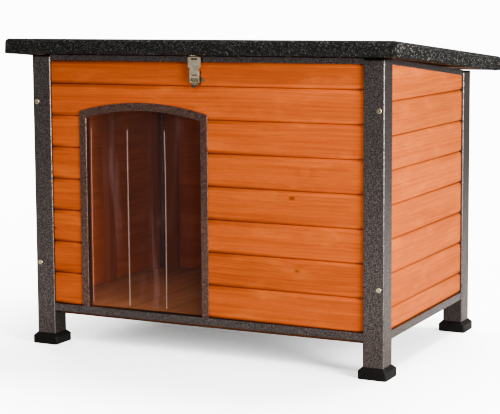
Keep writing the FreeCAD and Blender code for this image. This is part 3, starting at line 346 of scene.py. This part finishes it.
# ---------------------------------------------------------------- finishes
@dataclass(frozen=True)
class StainedPlanks:
    """Stained softwood planks laid side by side.

    Attributes:
        name: the material's name.
        light: spring wood.
        dark: summer wood.
        along: direction of the grain.
        across: direction in which the planks follow each other.
        seam: place of one seam, in metres.
        pitch: width of a plank, in metres.
        seed: number that makes this set of planks its own.
        groove: how dark the joints are, from 0 to 1.
        gloss_roughness: middle roughness of the stain.
        ring_pitch: distance between growth rings, in metres.
        pore_length: length of a pore along the grain, in metres.
        pore_width: its width, in metres.
        knot_along: spacing of possible knots along the grain, in metres.
        knot_across: their spacing across the plank, in metres.
        relief: depth of the grain, in metres.
    """

    name: str
    light: Colour
    dark: Colour
    along: Axis
    across: Axis
    seam: float
    pitch: float
    seed: float
    groove: float = 0.35
    gloss_roughness: float = 0.55
    ring_pitch: float = 0.0046
    pore_length: float = 0.022
    pore_width: float = 0.0030
    knot_along: float = 0.11
    knot_across: float = 0.060
    relief: float = 0.0006

    def make(self) -> bpy.types.Material:
        """Build the material.

        Returns:
            The planks' material.
        """
        s = ShaderSheet(self.name)
        parts = s.split(s.place())
        run = parts[self.along.value]
        side = parts[self.across.value]
        depth = parts[3 - self.along.value - self.across.value]
        count = (side - self.seam) / self.pitch
        plank = count.floor()
        own = [s.chance(plank, self.seed + k * 7.31) for k in range(4)]
        within = (count.fraction() - 0.5) * self.pitch
        run = run + own[0] * 3.0
        knot, knot_near = self._knots(s, run, plank, within, own[3])
        ring = self._rings(s, run, within, depth, own, knot_near)
        fibre = s.noise(s.join(run * 18.0, within * 560.0, depth * 560.0 + own[1] * 9.0), 1.0, 3.0, 0.65)
        streak = s.noise(s.join(run * 4.0, within * 210.0 + own[2] * 31.0, depth * 150.0), 1.0, 3.0, 0.6)
        broad = s.noise(s.join(run * 1.3 + own[3] * 7.0, within * 38.0, plank * 3.1), 1.0, 2.0)
        stain = s.noise(s.join(run * 9.0 + own[1] * 17.0, within * 26.0, plank), 1.0, 4.0, 0.65)
        pore_spot = s.join(run / self.pore_length, within / self.pore_width, plank * 1.7)
        pore = s.cells(pore_spot, 1.0).ramp(0.20, 0.08)
        drawn = (streak - 0.5) * 1.0 + (fibre - 0.5) * 0.8 + (broad - 0.5) * 0.9
        tone = (ring * 0.16 + drawn + 0.42).clamped()
        colour = s.blend(tone, self.light, self.dark)
        warm = tuple(c * k for c, k in zip(self.light, (1.10, 1.35, 1.5)))
        colour = s.blend(stain.ramp(0.50, 0.78) * 0.5, colour, warm)
        value = 0.90 + own[2] * 0.16 + (stain - 0.5) * 0.30 - pore * 0.20
        colour = s.blend(1.0, colour, s.grey(value), "MULTIPLY")
        colour = s.blend(knot * 0.7, colour, tuple(c * 0.25 for c in self.dark))
        edge = (self.pitch / 2 - within.absolute()).ramp(0.0013, 0.0003) * self.groove
        colour = s.blend(edge, colour, tuple(c * 0.15 for c in self.dark))
        s.set(Base_Color=colour, Roughness=self.gloss_roughness + (tone - 0.5) * 0.2,
              Specular_IOR_Level=0.04)
        s.bump(fibre * 0.6 - tone * 0.5 - pore * 0.5, 0.4, self.relief)
        return s.material

    def _knots(self, s: ShaderSheet, run: Field, plank: Field, within: Field,
               own: Field) -> Tuple[Field, Field]:
        """Scattered knots.

        Args:
            s: the sheet.
            run: place along the grain.
            plank: the plank's number.
            within: place across the plank from its middle.
            own: a random number of the plank.

        Returns:
            How much a point is knot, and how near it is to one.
        """
        spot = s.join(run / self.knot_along, plank * 3.7 + own * 5.0, within / self.knot_across)
        near = s.cells(spot, 1.0)
        pick = s.split(s.cells(spot, 1.0, "Color"))[0].ramp(0.74, 0.76)
        return near.ramp(0.085, 0.03) * pick, near.ramp(0.36, 0.03) * pick

    def _rings(self, s: ShaderSheet, run: Field, within: Field, depth: Field,
               own: Sequence[Field], knot_near: Field) -> Field:
        """Growth rings cut lengthwise.

        Args:
            s: the sheet.
            run: place along the grain.
            within: place across the plank from its middle.
            depth: place through the plank.
            own: random numbers of the plank.
            knot_near: how near a knot is, which pushes the rings aside.

        Returns:
            1 in the dark summer wood, 0 in the spring wood.
        """
        wander = s.noise(s.join(run * 2.2 + own[1] * 11.0, within * 6.0, own[0] * 23.0), 1.0, 1.5)
        ragged = s.noise(s.join(run * 22.0, within * 60.0, own[2] * 5.0), 1.0, 2.0)
        heart = (own[1] - 0.5) * 0.10
        off = within + heart + (wander - 0.5) * 0.030 + (ragged - 0.5) * 0.0016
        deep = (own[2] * 0.045 + 0.012) + depth.absolute() * 0.02
        radius = (off * off + deep * deep).root() + knot_near * 0.006
        turn = (radius / self.ring_pitch + (wander - 0.5) * 1.2).fraction()
        return turn.ramp(0.15, 0.85) * turn.ramp(1.0, 0.86)


@dataclass(frozen=True)
class HammeredPaint:
    """Hammer-finish powder coat: dark, with paler specks between small dimples.

    Attributes:
        name: the material's name.
        dark: colour of the dimples.
        pale: colour of the specks.
        grain: dimples to the metre.
        roughness: middle roughness.
        waver: how far the dimples are pushed out of their pattern, in metres.
        relief: depth of the dimples, in metres.
    """

    name: str
    dark: Colour
    pale: Colour
    grain: float = 540.0
    roughness: float = 0.38
    waver: float = 0.0011
    relief: float = 0.0003

    def make(self) -> bpy.types.Material:
        """Build the material.

        Returns:
            The paint's material.
        """
        s = ShaderSheet(self.name)
        place = s.place()
        wave = s.noise(place, self.grain * 0.6, 2.0, 0.6, "Color")
        moved = s.shift(place, s.add("ShaderNodeVectorMath", {"operation": "SCALE"},
                                     {0: wave, "Scale": self.waver}))
        dimple = s.cells(moved, self.grain, smooth=0.35)
        fine = s.noise(place, self.grain * 2.4, 3.0, 0.65)
        drift = s.noise(place, 14.0, 2.0)
        speck = (dimple.ramp(0.44, 0.58) * 1.0 + (fine - 0.56) * 1.5).clamped()
        colour = s.blend(speck, self.dark, self.pale)
        colour = s.blend(1.0, colour, s.grey(0.86 + drift * 0.28), "MULTIPLY")
        s.set(Base_Color=colour, Metallic=speck.ramp(0.0, 0.3),
              Roughness=self.roughness + (0.5 - speck) * 0.14,
              Specular_IOR_Level=0.30, Coat_Weight=0.25, Coat_Roughness=0.16)
        s.bump(dimple + fine * 0.25, 0.25, self.relief)
        return s.material


@dataclass(frozen=True)
class MineralFelt:
    """Bitumen felt dressed with mineral grit.

    Attributes:
        name: the material's name.
        bitumen: colour between the grains.
        pale: colour of the scattered mineral flecks.
        grain: grains to the metre.
        fleck: fleck-sized cells to the metre.
        fore_and_aft: how closely the grains follow each other from front to back.
        relief: height of the grit, in metres.
    """

    name: str
    bitumen: Colour = (0.003, 0.003, 0.003)
    pale: Colour = (0.16, 0.16, 0.158)
    grain: float = 560.0
    fleck: float = 400.0
    fore_and_aft: float = 0.45
    relief: float = 0.0011

    def make(self) -> bpy.types.Material:
        """Build the material.

        Returns:
            The felt's material.
        """
        s = ShaderSheet(self.name)
        place = s.add("ShaderNodeVectorMath", {"operation": "MULTIPLY"},
                      {0: s.place(), 1: (1.0, self.fore_and_aft, 1.0)})
        cell = s.cells(place, self.grain)
        pick = s.split(s.cells(place, self.grain, "Color"))
        clump = s.noise(place, 60.0, 2.0)
        body = s.add("ShaderNodeValToRGB", {"stops": (
            (0.0, (0.004, 0.004, 0.004)), (0.60, (0.008, 0.008, 0.008)), (0.86, (0.016, 0.016, 0.016)),
            (0.97, (0.040, 0.041, 0.041)))}, {0: (pick[0] + (clump - 0.5) * 0.2).clamped()}, 0)
        grit = cell.ramp(0.62, 0.30)
        colour = s.blend(grit, self.bitumen, body)
        large = s.cells(place, self.fleck)
        chosen = s.split(s.cells(place, self.fleck, "Color"))
        fleck = large.ramp(0.56, 0.36) * chosen[0].ramp(0.55, 0.65)
        colour = s.blend(fleck * (0.10 + chosen[1] ** 3.0 * 0.90), colour, self.pale)
        s.set(Base_Color=colour, Roughness=0.80 + pick[1] * 0.18, Specular_IOR_Level=0.08)
        s.bump(grit * (0.5 + pick[2] * 0.8) + clump * 0.6 + fleck * 0.5, 0.9, self.relief)
        return s.material


@dataclass(frozen=True)
class PlatedSteel:
    """Zinc-plated or galvanised steel.

    Attributes:
        name: the material's name.
        pale: colour of the plate.
        stain: colour of its passivation.
        roughness: middle roughness.
    """

    name: str
    pale: Colour
    stain: Colour
    roughness: float = 0.3

    def make(self) -> bpy.types.Material:
        """Build the material.

        Returns:
            The plate's material.
        """
        s = ShaderSheet(self.name)
        place = s.place()
        patch = s.noise(place, 90.0, 3.0, 0.6)
        x, y, z = s.split(place)
        scratch = s.noise(s.join(x * 900.0, y * 120.0, z * 240.0), 1.0, 3.0, 0.6)
        colour = s.blend(patch.ramp(0.35, 0.75), self.pale, self.stain)
        s.set(Base_Color=colour, Metallic=1.0, Roughness=self.roughness + (scratch - 0.5) * 0.22)
        s.bump(scratch + patch, 0.18, 0.0002)
        return s.material


@dataclass(frozen=True)
class MouldedPlastic:
    """Satin black moulded plastic.

    Attributes:
        name: the material's name.
        colour: its colour.
        roughness: middle roughness.
    """

    name: str
    colour: Colour = (0.0035, 0.0033, 0.0033)
    roughness: float = 0.42

    def make(self) -> bpy.types.Material:
        """Build the material.

        Returns:
            The plastic's material.
        """
        s = ShaderSheet(self.name)
        place = s.place()
        leather = s.cells(place, 900.0, smooth=0.3)
        dust = s.noise(place, 45.0, 3.0, 0.6)
        colour = s.blend(dust.ramp(0.5, 0.9) * 0.35, self.colour, tuple(c * 3.0 for c in self.colour))
        s.set(Base_Color=colour, Roughness=self.roughness + dust * 0.18, Specular_IOR_Level=0.10)
        s.bump(leather, 0.25, 0.0002)
        return s.material


@dataclass(frozen=True)
class ClearVinyl:
    """Clear soft vinyl with a milky haze; paler, more opaque smears in it are painted reflections.

    Attributes:
        name: the material's name.
        haze: least opacity.
        reflection_opacity: extra opacity of the painted reflections.
        tint: colour of the haze and of the painted reflections.
    """

    name: str
    haze: float = 0.020
    reflection_opacity: float = 0.11
    tint: Colour = (0.40, 0.19, 0.17)

    def make(self) -> bpy.types.Material:
        """Build the material.

        Returns:
            The vinyl's material.
        """
        s = ShaderSheet(self.name)
        x, y, z = s.split(s.place())
        warp = s.noise(s.join(x * 7.0, 0.0, z * 3.0), 1.0, 2.0)
        drawn = s.noise(s.join(x * 34.0 + warp * 3.0, 0.0, z * 4.5), 1.0, 3.0, 0.55)
        smear = s.noise(s.join(x * 14.0, 0.0, z * 9.0 + warp * 4.0), 1.0, 3.0, 0.6)
        # painted reflections: smears of extra opacity in the pale tint stand in for light reflected off the
        # film
        painted_reflections = drawn.ramp(0.52, 0.80) * 0.6 + smear.ramp(0.55, 0.85) * 0.4
        s.set(Base_Color=self.tint, Alpha=self.haze + painted_reflections * self.reflection_opacity, Roughness=0.16 + smear * 0.14,
              Specular_IOR_Level=0.15)
        s.bump(drawn * 0.6 + smear * 0.4, 0.35, 0.004)
        return s.material


# ---------------------------------------------------------------- dressing of CAD nodes
WELD_REACH = 1e-6
SHARP_ANGLE = math.radians(40)


def soften(node: bpy.types.Object, width: float, segments: int = 2) -> None:
    """Round a CAD node's sharp edges a little with modifiers, so that they catch light.

    Args:
        node: the CAD node.
        width: width of the rounding, in metres.
        segments: facets in the rounding.
    """
    weld = node.modifiers.new("weld", "WELD")
    weld.merge_threshold = WELD_REACH
    bevel = node.modifiers.new("edge", "BEVEL")
    bevel.width = width
    bevel.segments = segments
    bevel.limit_method = "ANGLE"
    bevel.angle_limit = SHARP_ANGLE
    bevel.harden_normals = True
    bevel.use_clamp_overlap = True


def paint(names: Sequence[str], material: bpy.types.Material, edge: float = 0.0) -> None:
    """Give CAD nodes a finish.

    Args:
        names: the nodes.
        material: the finish.
        edge: width of the rounding on their edges, in metres, or 0 for none.
    """
    for name in names:
        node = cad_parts[name]
        for place in node.material_slots:
            place.material = material
        if edge:
            soften(node, edge)
        LOG.info("dressed %s", name)


def nodes_like(*words: str) -> List[str]:
    """Names of the CAD nodes that hold any of the words."""
    return sorted(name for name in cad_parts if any(word in name for word in words))


@dataclass
class SteelFrame:
    """Posts, rails, caps, feet and the screws through the posts.

    Attributes:
        paint_edge: rounding on the rails' edges, in metres.
        plastic_edge: rounding on the feet's edges, in metres.
    """

    paint_edge: float = 0.0006
    plastic_edge: float = 0.0008

    def build(self) -> None:
        """Dress the frame's nodes."""
        coat = HammeredPaint("hammered_paint", (0.002, 0.0015, 0.0015), (0.178, 0.148, 0.146)).make()
        rails = nodes_like("_rail")
        paint([n for n in nodes_like("post_") if n != "post_caps"], coat)
        paint(rails, coat, self.paint_edge)
        plastic = MouldedPlastic("black_plastic").make()
        paint(["post_caps"], plastic)
        paint(nodes_like("foot_"), plastic, self.plastic_edge)
        bright = PlatedSteel("bright_screw", (0.70, 0.64, 0.42), (0.46, 0.38, 0.20), 0.10).make()
        paint(["frame_screws"], bright)


@dataclass
class Walls:
    """Plank walls and their battens.

    Attributes:
        edge: rounding on the wood's edges, in metres.
        pitch: distance between seams, in metres.
        side_first: height of the side walls' first seam above the front boards' lower edge, in metres.
        batten_light: spring wood of the battens.
        batten_dark: summer wood of the battens.
    """

    edge: float = 0.0005
    pitch: float = 0.065
    side_first: float = 0.0415
    batten_light: Colour = (0.34, 0.070, 0.012)
    batten_dark: Colour = (0.18, 0.030, 0.006)

    def build(self) -> None:
        """Dress the walls' nodes."""
        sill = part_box("front_boards_left")[0].z
        front_light, front_dark = (0.50, 0.086, 0.005), (0.27, 0.036, 0.002)
        front = StainedPlanks("front_planks", front_light, front_dark, Axis.X, Axis.Z,
                              seam=sill, pitch=self.pitch, seed=3.0)
        back = StainedPlanks("back_planks", front_light, front_dark, Axis.X, Axis.Z,
                             seam=sill, pitch=self.pitch, seed=29.0)
        # painted light: the side walls' stain is a paler, yellower copy of the front's, for the side that the
        # light falls on
        side_spring_lit, side_summer_lit = (0.52, 0.105, 0.009), (0.29, 0.046, 0.004)
        sides = StainedPlanks("side_planks_painted_light", side_spring_lit, side_summer_lit, Axis.Y, Axis.Z,
                              seam=sill + self.side_first, pitch=self.pitch, seed=11.0)
        paint(nodes_like("front_boards"), front.make(), self.edge)
        paint(["back_boards"], back.make(), self.edge)
        paint(["left_boards", "right_boards"], sides.make(), self.edge)
        batten_x = StainedPlanks("front_battens", self.batten_light, self.batten_dark, Axis.Z, Axis.X,
                                 seam=0.013, pitch=0.2, seed=41.0, groove=0.0, gloss_roughness=0.65)
        batten_y = StainedPlanks("side_battens", self.batten_light, self.batten_dark, Axis.Z, Axis.Y,
                                 seam=0.017, pitch=0.15, seed=43.0, groove=0.0, gloss_roughness=0.65)
        paint(["front_battens", "back_battens"], batten_x.make(), self.edge)
        paint(["left_battens", "right_battens"], batten_y.make(), self.edge)


@dataclass
class Floor:
    """Floor boards and bearers.

    Attributes:
        edge: rounding on the wood's edges, in metres.
        boards: number of floor boards.
    """

    edge: float = 0.0005
    boards: int = 8

    def build(self) -> None:
        """Dress the floor's nodes."""
        low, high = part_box("floor_boards")
        pitch = (high.x - low.x) / self.boards
        light, dark = (0.33, 0.12, 0.045), (0.19, 0.055, 0.018)
        board = StainedPlanks("floor_planks", light, dark, Axis.Y, Axis.X,
                              seam=low.x, pitch=pitch, seed=57.0, groove=0.7)
        paint(["floor_boards"], board.make(), self.edge)
        raw_light, raw_dark = (0.14, 0.040, 0.010), (0.07, 0.018, 0.004)
        bearer = StainedPlanks("bearer_planks", raw_light, raw_dark, Axis.X, Axis.Y,
                               seam=0.05, pitch=0.2, seed=61.0, groove=0.0, gloss_roughness=0.65)
        paint(["floor_bearers"], bearer.make(), self.edge)


@dataclass
class Roof:
    """Roof boards, cleats, felt, nails and hinges, and the small screws of the whole house.

    Attributes:
        edge: rounding on the boards' edges, in metres.
        felt_edge: rounding where the felt turns down, in metres.
        hinge_edge: rounding on the hinges' edges, in metres.
        boards: number of roof boards.
    """

    edge: float = 0.0005
    felt_edge: float = 0.0035
    hinge_edge: float = 0.0002
    boards: int = 5

    def build(self) -> None:
        """Dress the roof's nodes."""
        low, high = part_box("roof_boards")
        pitch = (high.y - low.y) / self.boards
        # painted shade: the roof boards and cleats get a much darker stain than the walls so that the
        # underside of the roof falls near black
        light, dark = (0.15, 0.055, 0.018), (0.08, 0.026, 0.008)
        board = StainedPlanks("roof_planks_painted_shade", light, dark, Axis.X, Axis.Y,
                              seam=low.y, pitch=pitch, seed=71.0, groove=0.6, gloss_roughness=0.6)
        cleat = StainedPlanks("cleat_planks_painted_shade", light, dark, Axis.Y, Axis.X,
                              seam=0.0, pitch=0.5, seed=73.0, groove=0.0, gloss_roughness=0.65)
        paint(["roof_boards"], board.make(), self.edge)
        paint(["roof_cleats"], cleat.make())
        paint(["roof_felt"], MineralFelt("mineral_felt").make(), self.felt_edge)
        zinc = PlatedSteel("hinge_zinc", (0.50, 0.48, 0.42), (0.36, 0.33, 0.25), 0.34).make()
        nail = PlatedSteel("nail_steel", (0.05, 0.048, 0.045), (0.03, 0.026, 0.022), 0.45).make()
        paint(["roof_nails"], nail)
        paint(nodes_like("hinge_"), zinc, self.hinge_edge)
        dull = PlatedSteel("screw_zinc", (0.30, 0.26, 0.18), (0.15, 0.12, 0.07), 0.28).make()
        paint(["roof_hardware_screws", "frame_hardware_screws", "curtain_screws"], dull)


@dataclass
class Latch:
    """Toggle latch and its catch.

    Attributes:
        edge: rounding on the sheet metal's edges, in metres.
    """

    edge: float = 0.00025

    def build(self) -> None:
        """Dress the latch's nodes."""
        strap = PlatedSteel("strap_zinc", (0.95, 0.84, 0.60), (0.60, 0.48, 0.30), 0.30).make()
        # painted shade: the base and catch get a darker copy of the plating, for the shade behind the strap
        # and in the latch's slot
        shaded_zinc = PlatedSteel("base_zinc_painted_shade", (0.26, 0.22, 0.14), (0.11, 0.085, 0.05), 0.34).make()
        lever = PlatedSteel("lever_zinc", (0.42, 0.36, 0.24), (0.20, 0.16, 0.09), 0.26).make()
        paint(["latch_strap"], strap, self.edge)
        paint(["latch_lever", "latch_lever_pin", "latch_strap_pin"], lever, self.edge)
        paint(["latch_base", "latch_catch"], shaded_zinc, self.edge)


@dataclass
class Door:
    """Door frame and the clear slit curtain.

    Attributes:
        edge: rounding on the door frame's edges, in metres.
        columns: facets across a sheet of vinyl.
        rows: facets down a sheet of vinyl.
        bend: length below the head over which a strip would bend, in metres; not used.
        bend_start: how far below the head the bend would begin, in metres; not used.
        ripple: height of the main ripple, in metres.
        ripple_onset: length below the head over which the ripple grows to its height, in metres.
    """

    edge: float = 0.0012
    columns: int = 24
    rows: int = 90
    bend: float = 0.03
    bend_start: float = 0.0005
    ripple: float = 0.0012
    ripple_onset: float = 0.08

    def build(self) -> None:
        """Dress the door frame and hang the curtain."""
        # the door frame's hammer paint has a red-brown tint; part of that tint is painted warm glow light
        # around the door
        coat = HammeredPaint("door_paint_glow_tinted", (0.004, 0.002, 0.0018), (0.26, 0.135, 0.105)).make()
        paint(["door_jamb_left", "door_arch", "door_jamb_right"], coat, self.edge)
        bar = PlatedSteel("clamp_zinc", (0.68, 0.68, 0.66), (0.5, 0.5, 0.48), 0.35).make()
        paint(["curtain_clamp_bar"], bar)
        clear = ClearVinyl("clear_vinyl").make()
        # cut edges get a paler, more opaque copy of the vinyl: a painted highlight along the slits
        edge = ClearVinyl("vinyl_edge_highlight", 0.45, 0.25, (0.70, 0.52, 0.48)).make()
        head_low, head_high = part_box("curtain_head")
        self._sheet("vinyl_head", "curtain_head", head_low, head_high, clear, edge)
        for side in ("left", "middle", "right"):
            node = "curtain_strip_" + side
            low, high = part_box(node)
            high = Vector((high.x, high.y, head_low.z))
            strip = self._sheet("vinyl_" + side, node, low, high, clear, edge)
            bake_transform(strip)

    def _sheet(self, name: str, node: str, low: Vector, high: Vector, clear: bpy.types.Material,
               edge: bpy.types.Material) -> bpy.types.Object:
        """A hanging sheet of vinyl with slight ripples, its cut edges in a paler, more opaque finish that is
        a painted highlight.

        Args:
            name: the piece's name.
            node: the CAD node that it stands for.
            low: lowest corner.
            high: highest corner.
            clear: finish of its faces.
            edge: finish of its cut edges, a painted highlight.

        Returns:
            The sheet.
        """
        mesh = bpy.data.meshes.new(name)
        sheet = bmesh.new()
        thick = (high.y - low.y) * 0.5
        middle = (low.y + high.y) / 2
        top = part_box("curtain_head")[0].z

        def wave(x: float, z: float) -> float:
            """How far the sheet stands from its plane at a place on it.

            Args:
                x: place across, in metres.
                z: height, in metres.

            Returns:
                The distance, in metres: none at the slits' upper ends.
            """
            slack = min(1.0, max(0.0, (top - z) / self.ripple_onset))
            return slack * self.ripple * (math.sin(x * 61.0 + 0.9) + 0.6 * math.sin(x * 23.0 - z * 9.0))

        grid: List[List[List[bmesh.types.BMVert]]] = []
        for face in (-1, 1):
            rows = []
            for j in range(self.rows + 1):
                z = low.z + (high.z - low.z) * j / self.rows
                row = []
                for i in range(self.columns + 1):
                    x = low.x + (high.x - low.x) * i / self.columns
                    row.append(sheet.verts.new((x, middle + face * thick / 2 + wave(x, z), z)))
                rows.append(row)
            grid.append(rows)
        for side, rows in enumerate(grid):
            for j in range(self.rows):
                for i in range(self.columns):
                    corners = [rows[j][i], rows[j][i + 1], rows[j + 1][i + 1], rows[j + 1][i]]
                    made = sheet.faces.new(corners if side == 0 else corners[::-1])
                    made.smooth = True
        rim = [(j, 0) for j in range(self.rows)]
        rim += [(self.rows, i) for i in range(self.columns)]
        rim += [(j, self.columns) for j in range(self.rows, 0, -1)]
        rim += [(0, i) for i in range(self.columns, 0, -1)]
        for a, b in zip(rim, rim[1:] + rim[:1]):
            made = sheet.faces.new([grid[0][a[0]][a[1]], grid[0][b[0]][b[1]], grid[1][b[0]][b[1]],
                                    grid[1][a[0]][a[1]]])
            made.material_index = 1
        bmesh.ops.recalc_face_normals(sheet, faces=sheet.faces)
        sheet.to_mesh(mesh)
        sheet.free()
        mesh.materials.append(clear)
        mesh.materials.append(edge)
        piece = bpy.data.objects.new(name, mesh)
        bpy.context.scene.collection.objects.link(piece)
        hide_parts(node)
        if node == "curtain_head":
            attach(piece, "house")
        LOG.info("hung %s", name)
        return piece


# ---------------------------------------------------------------- studio
@dataclass
class Studio:
    """Floor, light and camera.

    Attributes:
        focal_px: focal length, in the picture's pixels.
        photo_width_px: width of the picture, in pixels.
        principal_rise_px: how far the optical axis lies above the picture's middle, in pixels.
        sensor_mm: width of the camera's sensor.
        yaw: camera's turn to the left, in degrees.
        pitch: its tilt upwards, in degrees.
        roll: its turn about the optical axis, in degrees.
        place: where it stands, in metres.
        surround: strength of the surround's light on the house.
        backdrop: brightness of the surround as the camera sees it.
        floor_reach: floor's edge from the middle, in metres.
        view_reach: how far the camera sees, in metres.
    """

    focal_px: float = 1500.9
    photo_width_px: float = 500.0
    principal_rise_px: float = 37.0
    sensor_mm: float = 36.0
    yaw: float = 26.345
    pitch: float = -6.374
    roll: float = -0.361
    place: Tuple[float, float, float] = (1.3778, -2.8356, 0.7020)
    surround: float = 0.5
    backdrop: float = 13.0
    floor_reach: float = 30.0
    view_reach: float = 100.0

    def build(self) -> None:
        """Make all three."""
        self._floor()
        self._lights()
        self._camera()

    def _floor(self) -> None:
        """Pale plain floor."""
        mesh = bpy.data.meshes.new("studio_floor")
        half = self.floor_reach
        corners = [(-half, -half, 0), (half, -half, 0), (half, half, 0), (-half, half, 0)]
        mesh.from_pydata(corners, [], [(0, 1, 2, 3)])
        floor = bpy.data.objects.new("studio_floor", mesh)
        bpy.context.scene.collection.objects.link(floor)
        s = ShaderSheet("studio_floor")
        s.set(Base_Color=(0.45, 0.44, 0.43), Roughness=0.9, Specular_IOR_Level=0.1)
        mesh.materials.append(s.material)
        floor.is_shadow_catcher = True

    def _lights(self) -> None:
        """Key box on the right, boxes overhead, behind and high in front, weak fill and a pale surround."""
        world = bpy.data.worlds.new("surround")
        bpy.context.scene.world = world
        world.use_nodes = True
        sheet = NodeSheet(world.node_tree)
        seen = sheet.add("ShaderNodeLightPath", output="Is Camera Ray")
        strength = seen * (self.backdrop - self.surround) + self.surround
        inputs = {"Color": (1.0, 0.985, 0.975), "Strength": strength}
        light = sheet.add("ShaderNodeBackground", inputs=inputs)
        sheet.add("ShaderNodeOutputWorld", inputs={"Surface": light}, output=None)
        self._area("key", (2.5, -1.1, 0.62), (0.3, 0.0, 0.22), (1.1, 1.1), 195.0, (1.0, 0.95, 0.88))
        self._area("overhead", (0.3, 0.9, 2.7), (0.05, -0.1, 0.2), (1.8, 1.4), 170.0, (1.0, 0.97, 0.94))
        self._area("fill", (1.3, -2.0, 0.75), (0.25, -0.25, 0.22), (0.8, 0.8), 6.0, (1.0, 0.84, 0.74))
        self._area("rear", (-2.2, 1.7, 1.5), (0.0, 0.1, 0.3), (1.4, 1.2), 45.0, (1.0, 0.95, 0.90))
        self._area("front", (0.8, -1.8, 2.1), (0.0, -0.2, 0.3), (1.2, 0.8), 30.0, (1.0, 0.90, 0.82))

    @staticmethod
    def _area(name: str, place: Sequence[float], target: Sequence[float], size: Tuple[float, float],
              power: float, tint: Colour) -> None:
        """One soft box.

        Args:
            name: its name.
            place: where it stands, in metres.
            target: what it faces.
            size: its width and height, in metres.
            power: its power, in watts.
            tint: colour of its light.
        """
        light = bpy.data.lights.new(name, "AREA")
        light.shape = "RECTANGLE"
        light.size, light.size_y = size
        light.energy = power
        light.color = tint
        lamp = bpy.data.objects.new(name, light)
        lamp.location = place
        lamp.visible_camera = False
        lamp.rotation_euler = (Vector(target) - Vector(place)).to_track_quat("-Z", "Y").to_euler()
        bpy.context.scene.collection.objects.link(lamp)

    def _camera(self) -> None:
        """Camera at the photograph's viewing angle."""
        data = bpy.data.cameras.new("view")
        data.sensor_width = self.sensor_mm
        data.lens = self.focal_px / self.photo_width_px * self.sensor_mm
        data.shift_y = -self.principal_rise_px / self.photo_width_px
        data.clip_end = self.view_reach
        camera = bpy.data.objects.new("view", data)
        yaw, pitch, roll = (math.radians(a) for a in (self.yaw, self.pitch, self.roll))
        forward = Vector((-math.sin(yaw) * math.cos(pitch), math.cos(yaw) * math.cos(pitch), math.sin(pitch)))
        level = Vector((math.cos(yaw), math.sin(yaw), 0.0))
        up = level.cross(forward)
        right = level * math.cos(roll) + up * math.sin(roll)
        top = up * math.cos(roll) - level * math.sin(roll)
        turn = Matrix((right, top, -forward)).transposed().to_4x4()
        camera.matrix_world = Matrix.Translation(Vector(self.place)) @ turn
        bpy.context.scene.collection.objects.link(camera)
        bpy.context.scene.camera = camera


def main() -> None:
    """Build the looks in order."""
    logging.basicConfig(level=logging.INFO, format="%(name)s: %(message)s")
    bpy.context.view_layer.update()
    Studio().build()
    for assembly in (SteelFrame(), Walls(), Floor(), Roof(), Latch(), Door()):
        assembly.build()


if __name__ == "__main__":
    main()
